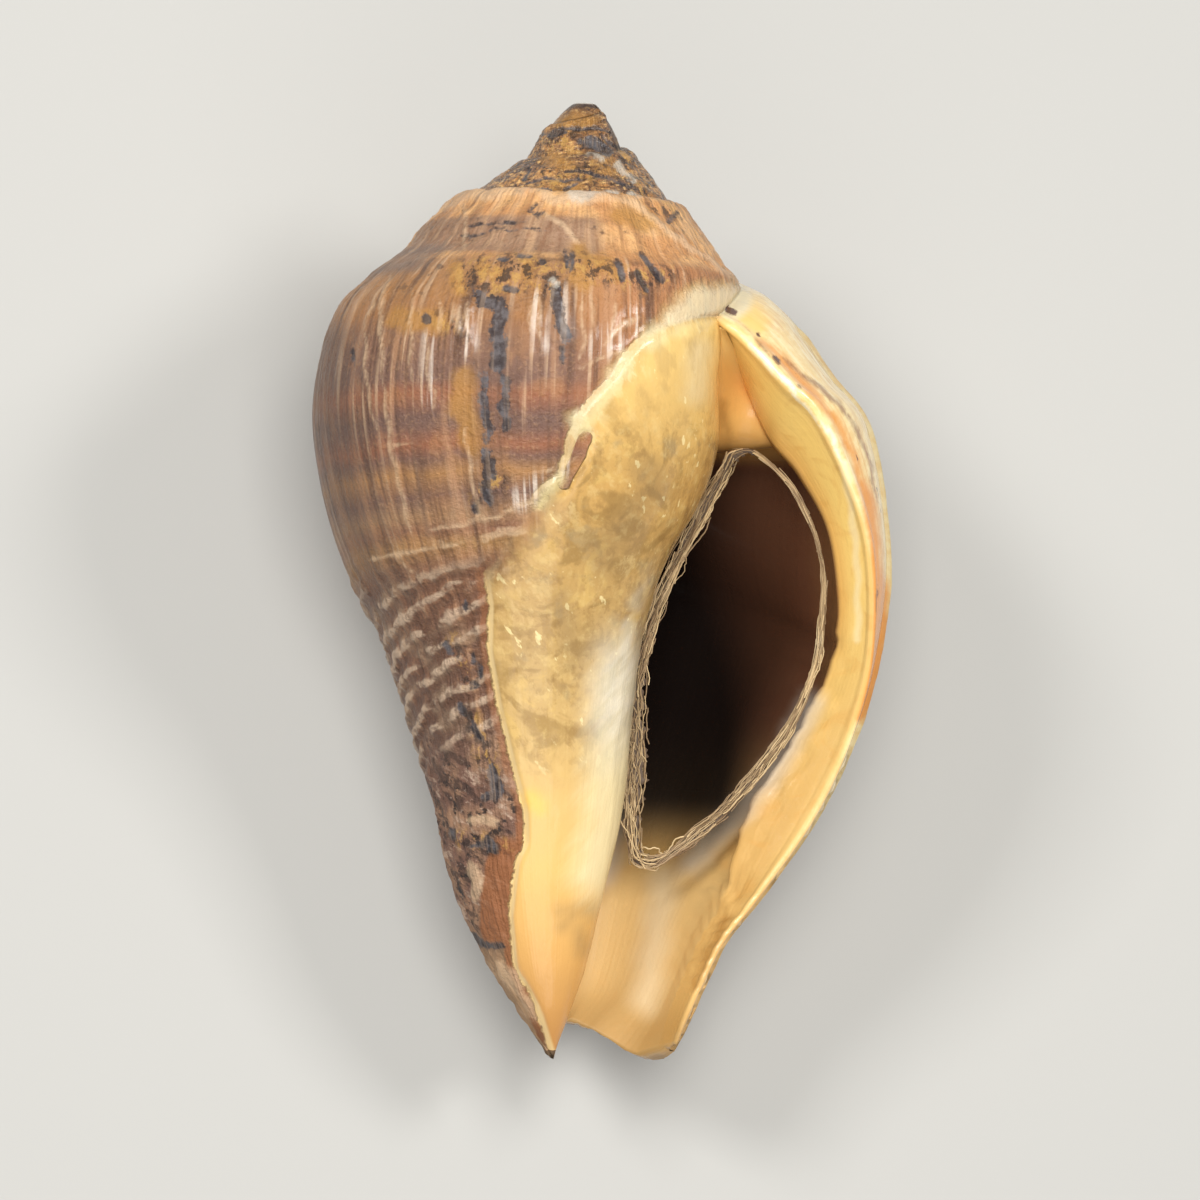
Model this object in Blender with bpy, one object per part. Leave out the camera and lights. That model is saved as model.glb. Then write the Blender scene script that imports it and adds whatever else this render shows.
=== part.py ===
"""A pear melongena shell, Volema pyrum, lying on its back with the mouth up, and the
ragged rim that is left of its horny operculum.

The shell grows as a spiral about its own axis, so it is measured about that axis first:
right is +x, the apex is +y, the side with the mouth is +z, and the apex is at y = 0. Angles
are in half turns of growth, with 0 at the right edge of the outer lip and -2 one whorl
before it. Every cross-section is a line of named features from the suture to the tip of
the canal, and the shell is a loft through them: once round the outside, over the lip,
into the hollow and back out over the columella. At the end it is laid down.
"""

import math

import bmesh
import bpy
import numpy as np
from mathutils import Matrix, Vector

MM = 0.001
SHELL_BROWN = (0.36, 0.2, 0.11)
SHELL_ROUGHNESS = 0.4
HORN_TAN = (0.42, 0.3, 0.19)
HORN_ROUGHNESS = 0.6

# Sizes below are millimetres, as (distance from the axis, height below the apex).
# The suture, where each whorl starts on the one before, at every half of a half turn.
FIRST_ANGLE = -6.0
KEY_STEP = 0.5
SUTURE = [
    (1.25, -0.35), (2.1, -1.5), (3.0, -2.3), (3.1, -3.0), (3.2, -3.8), (4.0, -4.7), (4.9, -5.4),
    (6.2, -6.9), (7.6, -8.55), (8.7, -8.4), (9.7, -8.5), (11.3, -11.3), (13.3, -15.0),
]
APEX_DROP = 0.05        # the middle of the worn apex
SPIRE_BULGE = 0.068     # how far a spire whorl swells out, as a share of its width
SPIRE_LEAN = 0.55       # below one, the swelling is nearer the upper suture

# The last whorl, from just below the suture to the tip: three points on the ramp, the
# shoulder, the widest part, the base that narrows, and the canal.
RAMP_SHARES = (0.25, 0.5, 0.75)
SECTION_BACK_ONE_TURN = [
    (13.3, -15.0), (12.4, -18.5), (11.9, -23.5), (11.6, -28.0), (9.9, -32.8), (7.2, -37.4),
    (5.6, -43.5), (5.0, -50.5), (4.6, -58.5), (2.45, -69.5), (0.0, -80.0),
]
SECTION_FRONT = [
    (10.0, -9.0), (11.9, -10.8), (13.3, -12.7),
    (15.6, -14.6), (17.2, -18.4), (17.6, -24.0), (16.6, -29.6), (14.4, -35.2), (11.2, -41.5),
    (8.8, -48.0), (7.4, -55.0), (5.8, -62.5), (3.7, -71.5), (0.0, -80.0),
]
SECTION_LEFT = [
    (11.7, -9.4), (13.6, -11.2), (14.9, -13.0),
    (17.9, -15.4), (20.6, -18.7), (21.95, -25.6), (21.1, -32.3), (18.9, -38.9), (15.2, -45.5),
    (12.8, -52.2), (10.6, -58.8), (8.9, -65.4), (5.7, -72.0), (0.0, -80.0),
]
SECTION_BACK = [
    (13.3, -12.0), (15.3, -13.8), (16.8, -15.8),
    (19.6, -18.6), (22.6, -22.6), (24.0, -31.2), (23.0, -39.4), (20.6, -46.4), (16.8, -53.2),
    (13.2, -60.2), (10.6, -65.5), (8.6, -70.0), (6.3, -74.5), (3.2, -77.4),
]
SECTION_RIGHT = [
    (15.4, -15.5), (17.3, -17.0), (18.9, -19.0),
    (21.4, -22.4), (24.6, -26.7), (26.5, -36.9), (25.9, -45.7), (24.1, -52.6), (21.1, -59.4),
    (16.5, -66.3), (14.0, -69.7), (12.4, -73.1), (11.0, -76.5), (9.7, -79.2),
]
FEATURES = 14
SUTURE_FEATURE = 4.0    # the feature that the next whorl's suture covers
LIP_COVER = 0.8         # the lip reaches this many features below it
LIP_COVER_FADE = 0.25

# The end of the canal, as (angle, distance from the axis, height).
CANAL_END = [
    (-1.0, 0.0, -80.0), (-0.75, 1.8, -78.4), (-0.5, 3.2, -77.4), (-0.35, 4.2, -77.3),
    (-0.23, 5.3, -78.1), (-0.16, 6.6, -79.0), (-0.1, 7.5, -79.8), (-0.058, 8.3, -80.05),
    (-0.017, 9.4, -79.6), (0.0, 9.7, -79.2),
]
CANAL_END_FEATURES = 2.0    # the last features, which the end pulls with it

# Where the mouth meets the whorl before, that whorl is eaten away a little.
DENT = 0.9
DENT_ANGLE = -1.9
DENT_HALF_ANGLE = 0.13
DENT_HEIGHT = -23.0
DENT_HALF_HEIGHT = 6.0

# The glossy edge of the outer lip and the throat a little way inside it, as x, y and z.
LIP_EDGE = [
    (11.2, -17.9, 8.2), (12.6, -18.8, 9.2), (13.6, -19.6, 9.6), (15.0, -20.9, 9.9),
    (17.3, -23.2, 9.9), (20.2, -26.0, 9.2), (24.4, -35.0, 6.8), (25.3, -44.6, 4.3),
    (23.9, -52.0, 3.0), (20.9, -59.2, 2.4), (16.3, -66.2, 2.2), (13.8, -69.6, 2.2),
    (12.2, -73.0, 2.3), (10.9, -76.2, 2.2), (10.2, -78.3, 1.6),
]
THROAT = [
    (13.6, -22.0, -0.4), (14.0, -23.0, 0.3), (14.6, -24.4, 0.9), (15.3, -26.0, 1.4),
    (16.6, -28.3, 2.0), (18.9, -30.9, 2.5), (21.6, -36.0, 2.8), (22.4, -44.6, 1.0),
    (19.7, -51.6, -0.6), (15.6, -58.8, -1.2), (13.8, -65.9, -0.6), (11.9, -69.6, -0.3),
    (10.5, -73.0, -0.2), (9.4, -76.2, -0.1), (8.7, -78.8, 0.2),
]
LIP_BEND_HEIGHT = 0.4   # where the lip bends over, between the right edge and the glossy edge
LIP_BEND_DEPTH = 0.62

# The left edge of the glaze that covers the columella, seen from the mouth side, as x and y.
GLAZE_EDGE = [
    (13.2, -17.7), (10.7, -17.9), (8.4, -18.4), (6.5, -19.1), (5.3, -19.9), (3.6, -21.6),
    (2.7, -23.6), (1.2, -25.0), (-0.1, -26.9), (-1.3, -31.6), (-2.6, -32.4), (-4.3, -35.1),
    (-7.0, -39.7), (-6.5, -42.3), (-6.5, -46.0), (-5.6, -50.5), (-4.1, -56.1), (-3.2, -59.0),
    (-3.0, -61.9), (-3.7, -63.4), (-4.1, -68.0), (-3.6, -72.3), (-2.5, -74.0), (-1.5, -76.0),
    (-0.4, -79.8),
]
GLAZE_THICKNESS = 0.45
GLAZE_BEVEL = 0.9
GLAZE_STARTS = (17.0, 19.5)     # it thins out between these depths below the apex
GLAZE_FULL_RADIUS = 2.0         # and towards the tip, inside this distance from the axis

# The hollow inside the last whorl. Depths are in half turns back from the right edge.
WALL = 2.0
WALL_THINNER = 0.8              # and thinner by this much in the canal
CALLUS = 0.4
CORNER_FILL = 1.3               # features that callus fills at the upper corner of the mouth
CORNER_FILL_DEPTH = 0.15
FIRST_DEPTH = 0.06
SHOULDER_DEPTH = 1.72
CANAL_DEPTH = 0.42
DEPTH_FADE = (0.32, 0.8)        # shares of the way down between which the depth changes
TOP_FEATURE = 2.0               # the roof of the hollow starts this far down
ROOF_SHARE = 0.1                # and the roof is this wide
ROUNDED_END = 0.28              # share of the depth that closes round
COLUMELLA_NARROWS = 0.12

ROWS_PER_FEATURE = 2
COLUMNS_PER_TURN = 40
LIP_COLUMNS = 4                 # columns past the right edge, over the lip to its glossy edge
SPIRE_TURNS = 3
HOLLOW_COLUMNS = 22
FACE_COLUMNS = 3
CONTOUR_ROWS = 7                # rows over which the mouth's left side turns to the right edge
CONTOUR_COLUMNS = 7
ROWS = FEATURES * ROWS_PER_FEATURE
SHARED_ROW = int(SUTURE_FEATURE * ROWS_PER_FEATURE)
LAST = SPIRE_TURNS * COLUMNS_PER_TURN
MOUTH = LAST - COLUMNS_PER_TURN
LIP_ANGLE = 2.0 * LIP_COLUMNS / COLUMNS_PER_TURN
MERGE = 0.02

# What is left of the operculum: a ragged ring, as the x and y of its outer edge, the x and y
# of its inner edge, and z, from the upper corner of the mouth down the columella and back up.
OPERCULUM_RIM = [
    (15.4, -28.6, 15.3, -29.4, 2.2), (12.9, -28.9, 14.0, -29.5, 2.2), (12.3, -30.2, 13.2, -30.6, 1.2),
    (11.2, -32.2, 12.3, -32.6, 0.4), (10.2, -34.4, 11.3, -34.5, 0.0), (9.2, -36.6, 10.3, -36.5, -0.4),
    (8.3, -39.0, 9.2, -38.9, -0.7), (7.3, -41.6, 8.2, -41.3, -0.9), (6.4, -44.5, 7.3, -44.3, -1.0),
    (5.7, -48.0, 6.6, -48.0, -1.0), (5.7, -52.0, 6.6, -52.0, -1.1), (5.7, -56.0, 6.9, -56.0, -1.2),
    (5.6, -60.0, 6.6, -59.7, -1.4), (6.0, -63.4, 6.8, -62.4, -1.6), (7.6, -63.9, 8.0, -62.9, -1.7),
    (9.3, -63.1, 9.3, -62.2, -1.8), (11.4, -61.5, 11.2, -60.6, -1.8), (13.4, -59.8, 12.9, -59.1, -1.7),
    (15.2, -57.8, 14.6, -57.2, -1.6), (16.9, -55.6, 16.2, -55.1, -1.4), (18.9, -52.6, 18.2, -52.2, -1.0),
    (20.4, -49.2, 19.7, -48.9, -0.5), (21.5, -46.0, 20.8, -45.9, 0.1), (21.7, -42.8, 21.0, -42.8, 0.8),
    (21.5, -39.4, 20.8, -39.5, 1.4), (20.8, -36.2, 20.1, -36.4, 1.8), (19.5, -33.4, 18.9, -33.8, 2.0),
    (17.7, -30.9, 17.2, -31.5, 2.1),
]
OPERCULUM_THICKNESS = 0.55
STEPS_PER_STATION = 2

# The shell lies on its back: it is pitched about x, which raises the apex, and rolled
# about its own axis, and a small spot of the back is worn flat where it touches.
PITCH = math.radians(11.0)
ROLL = math.radians(-9.0)
BACK_POINT = (-1.3, -37.7, -22.7)
FLAT_SNAP = 0.00001     # in metres: corners this near the floor count as on it


def smooth_curve(points, at):
    """Points on a Catmull-Rom curve through the given ones, at positions counted in points."""
    points = np.asarray(points, float)
    at = np.asarray(at, float)
    padded = np.vstack([2 * points[0] - points[1], points, 2 * points[-1] - points[-2]])
    start = np.clip(np.floor(at).astype(int), 0, len(points) - 2)
    t = (at - start)[..., None]
    a, b, c, d = (padded[start + i] for i in range(4))
    return 0.5 * (
        2 * b + (c - a) * t + (2 * a - 5 * b + 4 * c - d) * t**2 + (3 * b - a - 3 * c + d) * t**3
    )


def eased(low, high, value):
    t = np.clip((value - low) / (high - low), 0.0, 1.0)
    return t * t * (3 - 2 * t)


def place(angle, radius_height):
    radius, height = radius_height
    turn = angle * math.pi
    return np.array([radius * math.cos(turn), height, radius * math.sin(turn)])


def suture_at(angle):
    return smooth_curve(SUTURE, (angle - FIRST_ANGLE) / KEY_STEP)


def spire_section(angle, share):
    """A point on a spire whorl, from its own suture (share 0) to the next one (share 1)."""
    upper, lower = suture_at(angle), suture_at(angle + 2.0)
    chord = lower - upper
    outward = np.array([-chord[1], chord[0]])
    return upper + chord * share + outward * SPIRE_BULGE * math.sin(math.pi * share**SPIRE_LEAN)


def key_sections():
    ramp = [tuple(spire_section(-2.0, share)) for share in RAMP_SHARES]
    bodies = [
        ramp + SECTION_BACK_ONE_TURN, SECTION_FRONT, SECTION_LEFT, SECTION_BACK, SECTION_RIGHT
    ]
    first = int((-2.0 - FIRST_ANGLE) / KEY_STEP)
    return np.array([[SUTURE[first + i]] + body for i, body in enumerate(bodies)])


KEYS = key_sections()


def section_at(angle, feature):
    """(radius, height) on the outside of the last whorl."""
    around = smooth_curve(KEYS.reshape(len(KEYS), -1), (angle + 2.0) / KEY_STEP).reshape(-1, 2)
    radius, height = smooth_curve(around, feature)
    dent = DENT * math.exp(
        -(((angle - DENT_ANGLE) / DENT_HALF_ANGLE) ** 2)
        - ((height - DENT_HEIGHT) / DENT_HALF_HEIGHT) ** 2
    )
    near_end = max(0.0, (feature - FEATURES) / CANAL_END_FEATURES + 1.0) ** 2
    end = np.array(CANAL_END)
    end_radius, end_height = (np.interp(angle, end[:, 0], end[:, i]) for i in (1, 2))
    return np.array([
        radius - dent + (end_radius - around[-1, 0]) * near_end,
        height + (end_height - around[-1, 1]) * near_end,
    ])


def covered_feature(angle):
    """The feature that the lip's suture follows on the whorl beneath, near the mouth."""
    past = angle + 2.0
    rise = eased(0.0, LIP_ANGLE, past)
    fall = 1.0 - eased(LIP_ANGLE, LIP_ANGLE + LIP_COVER_FADE, past)
    return SUTURE_FEATURE + LIP_COVER * rise * fall


def feature_of_row(angle, row):
    split = covered_feature(angle)
    if row <= SHARED_ROW:
        return split * row / SHARED_ROW
    return split + (FEATURES - split) * (row - SHARED_ROW) / (ROWS - SHARED_ROW)


def glaze_lift(point):
    """How far the glaze stands over the shell at a point on the mouth side."""
    if point[2] <= 0.0:
        return 0.0
    edge = np.array(GLAZE_EDGE)
    edge_x = np.interp(-point[1], -edge[:, 1], edge[:, 0])
    fade = eased(*GLAZE_STARTS, -point[1])
    return GLAZE_THICKNESS * fade * eased(0.0, GLAZE_BEVEL, point[0] - edge_x)


def angle_of_column(column):
    return LIP_ANGLE - 2.0 * (LAST - column) / COLUMNS_PER_TURN


def mouth_shift(column, row):
    """The columella side of the mouth lies nearer the right edge lower down."""
    down = eased(SHARED_ROW, SHARED_ROW + CONTOUR_ROWS, row)
    near = 1.0 - eased(0.0, CONTOUR_COLUMNS, column - MOUTH)
    return LIP_ANGLE * down * near


def outside_point(column, row):
    angle = angle_of_column(column)
    feature = feature_of_row(angle, row)
    if column > LAST - LIP_COLUMNS:
        return lip_roll_point(angle / LIP_ANGLE, row)
    if column < MOUTH:
        if angle > -2.0:
            return place(angle, section_at(angle, feature))
        return place(angle, spire_section(angle, row / SHARED_ROW))
    angle = max(-2.0, angle - mouth_shift(column, row))
    point = place(angle, section_at(angle, feature))
    radial = np.array([point[0], 0.0, point[2]])
    size = max(np.linalg.norm(radial), MERGE)
    return point + radial / size * glaze_lift(point) * min(1.0, size / GLAZE_FULL_RADIUS)


def lip_roll_point(share, row):
    """From the right edge of the shell, over the outside of the lip, to its glossy edge."""
    feature = row / ROWS_PER_FEATURE
    edge = smooth_curve(LIP_EDGE, feature)
    start = place(0.0, section_at(0.0, feature))
    bend_height = start[1] + (edge[1] - start[1]) * LIP_BEND_HEIGHT
    bend = np.array([start[0], bend_height, edge[2] * LIP_BEND_DEPTH])
    return (1 - share) ** 2 * start + 2 * share * (1 - share) * bend + share**2 * edge


def inner_wall(angle, feature):
    """The inside of the outer wall, a wall's thickness in from the outside."""
    here = section_at(angle, feature)
    before = section_at(angle, max(feature - 0.25, 0.0))
    after = section_at(angle, min(feature + 0.25, FEATURES))
    along = after - before
    inward = np.array([along[1], -along[0]]) / np.hypot(*along)
    straight_in = eased(FEATURES - CANAL_END_FEATURES, FEATURES, feature)
    inward = inward + (np.array([-1.0, 0.35]) - inward) * straight_in
    return here + inward * (WALL - WALL_THINNER * eased(9.0, 13.5, feature))


def columella_wall(angle, share):
    """The whorl before this one, as it forms the inner side of the hollow."""
    fill = CORNER_FILL * math.exp(-((angle / CORNER_FILL_DEPTH) ** 2))
    start = SUTURE_FEATURE + LIP_COVER + fill
    at_mouth = section_at(-2.0, start + (FEATURES - start) * share)
    drift = suture_at(angle) - suture_at(0.0)
    radius, height = at_mouth + drift * (1.0 - share) ** 1.5
    narrow = 1.0 + COLUMELLA_NARROWS * angle * share
    return np.array([radius * narrow + CALLUS * min(1.0, 3.0 * (1.0 - share)), height])


def hollow_pair(column, row):
    """The outer and the inner side of the hollow at one depth, as two points."""
    share = row / ROWS
    progress = column / HOLLOW_COLUMNS
    feature = FEATURES * share + TOP_FEATURE * (1.0 - share) ** 3
    depth = SHOULDER_DEPTH + (CANAL_DEPTH - SHOULDER_DEPTH) * eased(*DEPTH_FADE, share)
    angle = -FIRST_DEPTH - (depth - FIRST_DEPTH) * progress
    outer = inner_wall(angle, feature)
    inner = columella_wall(angle, share)
    corner = columella_wall(angle, 0.0)
    corner[0] = 0.5 * (corner[0] + inner_wall(angle, TOP_FEATURE)[0])
    join = 1.0 - eased(0.0, ROOF_SHARE, share)
    outer = outer + (corner - outer) * join
    inner = inner + (corner - inner) * join
    closing = max(0.0, 1.0 - (1.0 - progress) / ROUNDED_END)
    open_share = math.sqrt(1.0 - closing**2)
    middle = 0.5 * (outer + inner)
    return (
        place(angle, middle + (outer - middle) * open_share),
        place(angle, middle + (inner - middle) * open_share),
    )


def loft(mesh, grid):
    for left, right in zip(grid, grid[1:]):
        for k in range(len(left) - 1):
            corners = [left[k], right[k], right[k + 1], left[k + 1]]
            corners = [v for n, v in enumerate(corners) if v not in corners[:n]]
            if len(corners) > 2:
                mesh.faces.new(corners)


def zip_rows(mesh, first, second):
    """Triangles between two lines of vertices that run the same way, by the shorter diagonal."""
    i = j = 0
    while i < len(first) - 1 or j < len(second) - 1:
        if i == len(first) - 1:
            along_first = False
        elif j == len(second) - 1:
            along_first = True
        else:
            ahead = (first[i + 1].co - second[j].co).length
            along_first = ahead <= (first[i].co - second[j + 1].co).length
        if along_first:
            corners = [first[i], first[i + 1], second[j]]
            i += 1
        else:
            corners = [first[i], second[j + 1], second[j]]
            j += 1
        if len(set(corners)) == 3:
            mesh.faces.new(corners)


def outside_columns(mesh):
    """Every column of the outside. A whorl's last shared row is the next whorl's suture."""
    columns = []
    for column in range(LAST + 1):
        rows = SHARED_ROW if column < MOUTH else ROWS
        made = []
        for row in range(rows + 1):
            if row == 0 and column >= COLUMNS_PER_TURN:
                made.append(columns[column - COLUMNS_PER_TURN][SHARED_ROW])
            else:
                made.append(mesh.verts.new(outside_point(column, row)))
        columns.append(made)
    return columns


def beside_columella(edge, row):
    """The point on the left side of the mouth that a row of the hollow comes out to."""
    at = row / ROWS * (len(edge) - 1)
    low = min(int(at), len(edge) - 2)
    return edge[low] + (edge[low + 1] - edge[low]) * (at - low)


def mouth_columns(mesh, columns):
    """The two sides of the mouth and of the hollow behind it, from the lip inwards."""
    left_edge = [np.array(v.co) for v in columns[MOUTH][SHARED_ROW:]]
    going_in = [columns[LAST]]
    coming_out = []
    for step in range(1, FACE_COLUMNS + 1):
        t = step / FACE_COLUMNS
        line = []
        back = []
        for row in range(ROWS + 1):
            edge = smooth_curve(LIP_EDGE, row / ROWS_PER_FEATURE)
            throat = smooth_curve(THROAT, row / ROWS_PER_FEATURE)
            line.append(mesh.verts.new(edge + (throat - edge) * t))
            if row == 0:
                back.append(line[0])
                continue
            outer_end = beside_columella(left_edge, row)
            inner_end = hollow_pair(0, row)[1]
            inward = step / (FACE_COLUMNS + 1)
            back.append(mesh.verts.new(outer_end + (inner_end - outer_end) * inward))
        going_in.append(line)
        coming_out.append(back)
    for column in range(HOLLOW_COLUMNS + 1):
        pairs = [hollow_pair(column, row) for row in range(ROWS + 1)]
        line = [mesh.verts.new(outer) for outer, _ in pairs]
        if column == HOLLOW_COLUMNS:
            back = line
        else:
            back = [line[0]] + [mesh.verts.new(inner) for _, inner in pairs[1:]]
        going_in.append(line)
        coming_out.append(back)
    return going_in, coming_out


def build_shell():
    mesh = bmesh.new()
    columns = outside_columns(mesh)
    loft(mesh, [column[: SHARED_ROW + 1] for column in columns[: MOUTH + 1]])
    loft(mesh, columns[MOUTH:])

    apex = mesh.verts.new((0.0, -APEX_DROP, 0.0))
    around_apex = [columns[i][0] for i in range(COLUMNS_PER_TURN + 1)]
    around_apex += columns[0][SHARED_ROW - 1 : 0 : -1]
    for a, b in zip(around_apex, around_apex[1:] + around_apex[:1]):
        mesh.faces.new([a, b, apex])

    going_in, coming_out = mouth_columns(mesh, columns)
    loft(mesh, going_in)
    loft(mesh, coming_out)
    left_edge = columns[MOUTH][SHARED_ROW:]
    zip_rows(mesh, left_edge, [left_edge[0]] + coming_out[0][1:])
    mesh.faces.new([left_edge[0], coming_out[0][0], coming_out[0][1]])

    outer_foot = [column[ROWS] for column in columns[MOUTH:]]
    inner_foot = [columns[MOUTH][ROWS]] + [line[ROWS] for line in coming_out]
    inner_foot += [line[ROWS] for line in reversed(going_in[:-1])]
    zip_rows(mesh, outer_foot, inner_foot)

    bmesh.ops.remove_doubles(mesh, verts=mesh.verts, dist=MERGE)
    bmesh.ops.recalc_face_normals(mesh, faces=mesh.faces)
    return mesh


def build_operculum_rim():
    """The ring of horn, a closed loft of four-cornered sections."""
    mesh = bmesh.new()
    count = len(OPERCULUM_RIM)
    around = OPERCULUM_RIM * 3
    rings = []
    for step in range(count * STEPS_PER_STATION):
        outer_x, outer_y, inner_x, inner_y, z = smooth_curve(
            around, count + step / STEPS_PER_STATION
        )
        low = z - OPERCULUM_THICKNESS
        corners = [
            (outer_x, outer_y, z), (inner_x, inner_y, z), (inner_x, inner_y, low),
            (outer_x, outer_y, low),
        ]
        rings.append([mesh.verts.new(corner) for corner in corners])
    for ring, following in zip(rings, rings[1:] + rings[:1]):
        for k in range(4):
            after = (k + 1) % 4
            mesh.faces.new([ring[k], ring[after], following[after], following[k]])
    bmesh.ops.recalc_face_normals(mesh, faces=mesh.faces)
    return mesh


def lay_down(mesh):
    """Turns a piece with the shell as it lies on its back, from millimetres into metres."""
    turn = Matrix.Rotation(PITCH, 4, "X") @ Matrix.Rotation(ROLL, 4, "Y")
    mesh.transform(Matrix.Scale(MM, 4) @ turn @ Matrix.Translation(-Vector(BACK_POINT)))


def wear_flat(mesh):
    """Takes off what lies below the floor, which leaves the flat spot."""
    everything = list(mesh.verts) + list(mesh.edges) + list(mesh.faces)
    cut = bmesh.ops.bisect_plane(
        mesh, geom=everything, dist=FLAT_SNAP, plane_co=(0.0, 0.0, 0.0),
        plane_no=(0.0, 0.0, 1.0), clear_inner=True,
    )
    rim = [part for part in cut["geom_cut"] if isinstance(part, bmesh.types.BMEdge)]
    bmesh.ops.contextual_create(mesh, geom=rim)
    bmesh.ops.recalc_face_normals(mesh, faces=mesh.faces)


def solid(name, mesh, colour, roughness, collection):
    if mesh.calc_volume(signed=True) < 0.0:
        bmesh.ops.reverse_faces(mesh, faces=mesh.faces)
    data = bpy.data.meshes.new(name)
    mesh.to_mesh(data)
    mesh.free()
    data.shade_smooth()
    piece = bpy.data.objects.new(name, data)
    material = bpy.data.materials.new(name)
    material.use_nodes = True
    finish = material.node_tree.nodes["Principled BSDF"]
    finish.inputs["Base Color"].default_value = (*colour, 1.0)
    finish.inputs["Roughness"].default_value = roughness
    data.materials.append(material)
    collection.objects.link(piece)


for old in list(bpy.data.objects):
    bpy.data.objects.remove(old, do_unlink=True)
volema = bpy.data.collections.new("volema_pyrum")
bpy.context.scene.collection.children.link(volema)

shell = build_shell()
lay_down(shell)
wear_flat(shell)
solid("shell", shell, SHELL_BROWN, SHELL_ROUGHNESS, volema)

operculum_rim = build_operculum_rim()
lay_down(operculum_rim)
solid("operculum_rim", operculum_rim, HORN_TAN, HORN_ROUGHNESS, volema)
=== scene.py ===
import math

import bmesh
import bpy
import numpy as np
from mathutils import Matrix, Vector


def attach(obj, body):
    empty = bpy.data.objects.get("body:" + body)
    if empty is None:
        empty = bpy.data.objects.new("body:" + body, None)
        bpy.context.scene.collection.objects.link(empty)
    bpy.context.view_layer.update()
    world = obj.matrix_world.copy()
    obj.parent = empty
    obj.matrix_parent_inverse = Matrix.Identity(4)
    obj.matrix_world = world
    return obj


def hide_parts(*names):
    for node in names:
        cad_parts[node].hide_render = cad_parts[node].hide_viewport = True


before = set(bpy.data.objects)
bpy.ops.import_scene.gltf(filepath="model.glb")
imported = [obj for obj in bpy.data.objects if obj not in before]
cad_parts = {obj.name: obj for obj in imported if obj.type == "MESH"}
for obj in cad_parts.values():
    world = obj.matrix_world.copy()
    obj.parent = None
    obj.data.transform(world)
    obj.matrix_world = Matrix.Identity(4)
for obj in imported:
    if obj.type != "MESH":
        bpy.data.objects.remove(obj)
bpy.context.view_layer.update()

# The shell of a sea snail, grown in one piece: aragonite that is brown and worn outside and
# glazed inside the mouth. It is measured about its own axis, in millimetres, with the apex at
# y = 0 and the mouth towards +z, and angles are in half turns of growth. It is laid down last.

MM = 0.001
FIRST_ANGLE = -6.0
KEY_STEP = 0.5
SUTURE = [               # radius and height of the seam between the whorls, a quarter turn apart
    (1.25, -0.35), (2.1, -1.5), (3.0, -2.3), (3.1, -3.0), (3.2, -3.8), (4.0, -4.7), (4.9, -5.4),
    (6.2, -6.9), (7.6, -8.55), (8.7, -8.4), (9.7, -8.5), (11.3, -11.3), (13.3, -15.0),
]
APEX_DROP = 0.05
SPIRE_BULGE = 0.068
SPIRE_LEAN = 0.55

# Outlines of the last whorl as radius and height, from the seam down to the end of the canal.
RAMP_SHARES = (0.25, 0.5, 0.75)
SECTION_BACK_ONE_TURN = [
    (13.3, -15.0), (12.4, -18.5), (11.9, -23.5), (11.6, -28.0), (9.9, -32.8), (7.2, -37.4),
    (5.6, -43.5), (5.0, -50.5), (4.6, -58.5), (2.45, -69.5), (0.0, -80.0),
]
SECTION_FRONT = [
    (10.0, -9.0), (11.9, -10.8), (13.3, -12.7),
    (15.6, -14.6), (17.2, -18.4), (17.6, -24.0), (16.6, -29.6), (14.4, -35.2), (11.2, -41.5),
    (8.8, -48.0), (7.4, -55.0), (5.8, -62.5), (3.7, -71.5), (0.0, -80.0),
]
SECTION_LEFT = [
    (11.7, -9.4), (13.6, -11.2), (14.9, -13.0),
    (17.9, -15.4), (20.6, -18.7), (21.95, -25.6), (21.1, -32.3), (18.9, -38.9), (15.2, -45.5),
    (12.8, -52.2), (10.6, -58.8), (8.9, -65.4), (5.7, -72.0), (0.0, -80.0),
]
SECTION_BACK = [
    (13.3, -12.0), (15.3, -13.8), (16.8, -15.8),
    (19.6, -18.6), (22.6, -22.6), (24.0, -31.2), (23.0, -39.4), (20.6, -46.4), (16.8, -53.2),
    (13.2, -60.2), (10.6, -65.5), (8.6, -70.0), (6.3, -74.5), (3.2, -77.4),
]
SECTION_RIGHT = [
    (15.4, -15.5), (17.3, -17.0), (18.9, -19.0),
    (21.4, -22.4), (24.6, -26.7), (26.5, -36.9), (25.9, -45.7), (24.1, -52.6), (21.1, -59.4),
    (16.5, -66.3), (14.0, -69.7), (12.4, -73.1), (11.0, -76.5), (9.7, -79.2),
]
FEATURES = 14
SUTURE_FEATURE = 4.0
LIP_COVER = 0.8
LIP_COVER_FADE = 0.25
CANAL_END = [            # the notched end of the canal as angle, radius and height
    (-1.0, 0.0, -80.0), (-0.75, 1.8, -78.4), (-0.5, 3.2, -77.4), (-0.35, 4.2, -77.3),
    (-0.23, 5.3, -78.1), (-0.16, 6.6, -79.0), (-0.1, 7.5, -79.8), (-0.058, 8.3, -80.05),
    (-0.017, 9.4, -79.6), (0.0, 9.7, -79.2),
]
CANAL_END_FEATURES = 2.0
DENT = 0.9               # a shallow hollow beside the upper corner of the mouth
DENT_ANGLE = -1.9
DENT_HALF_ANGLE = 0.13
DENT_HEIGHT = -23.0
DENT_HALF_HEIGHT = 6.0
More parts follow.
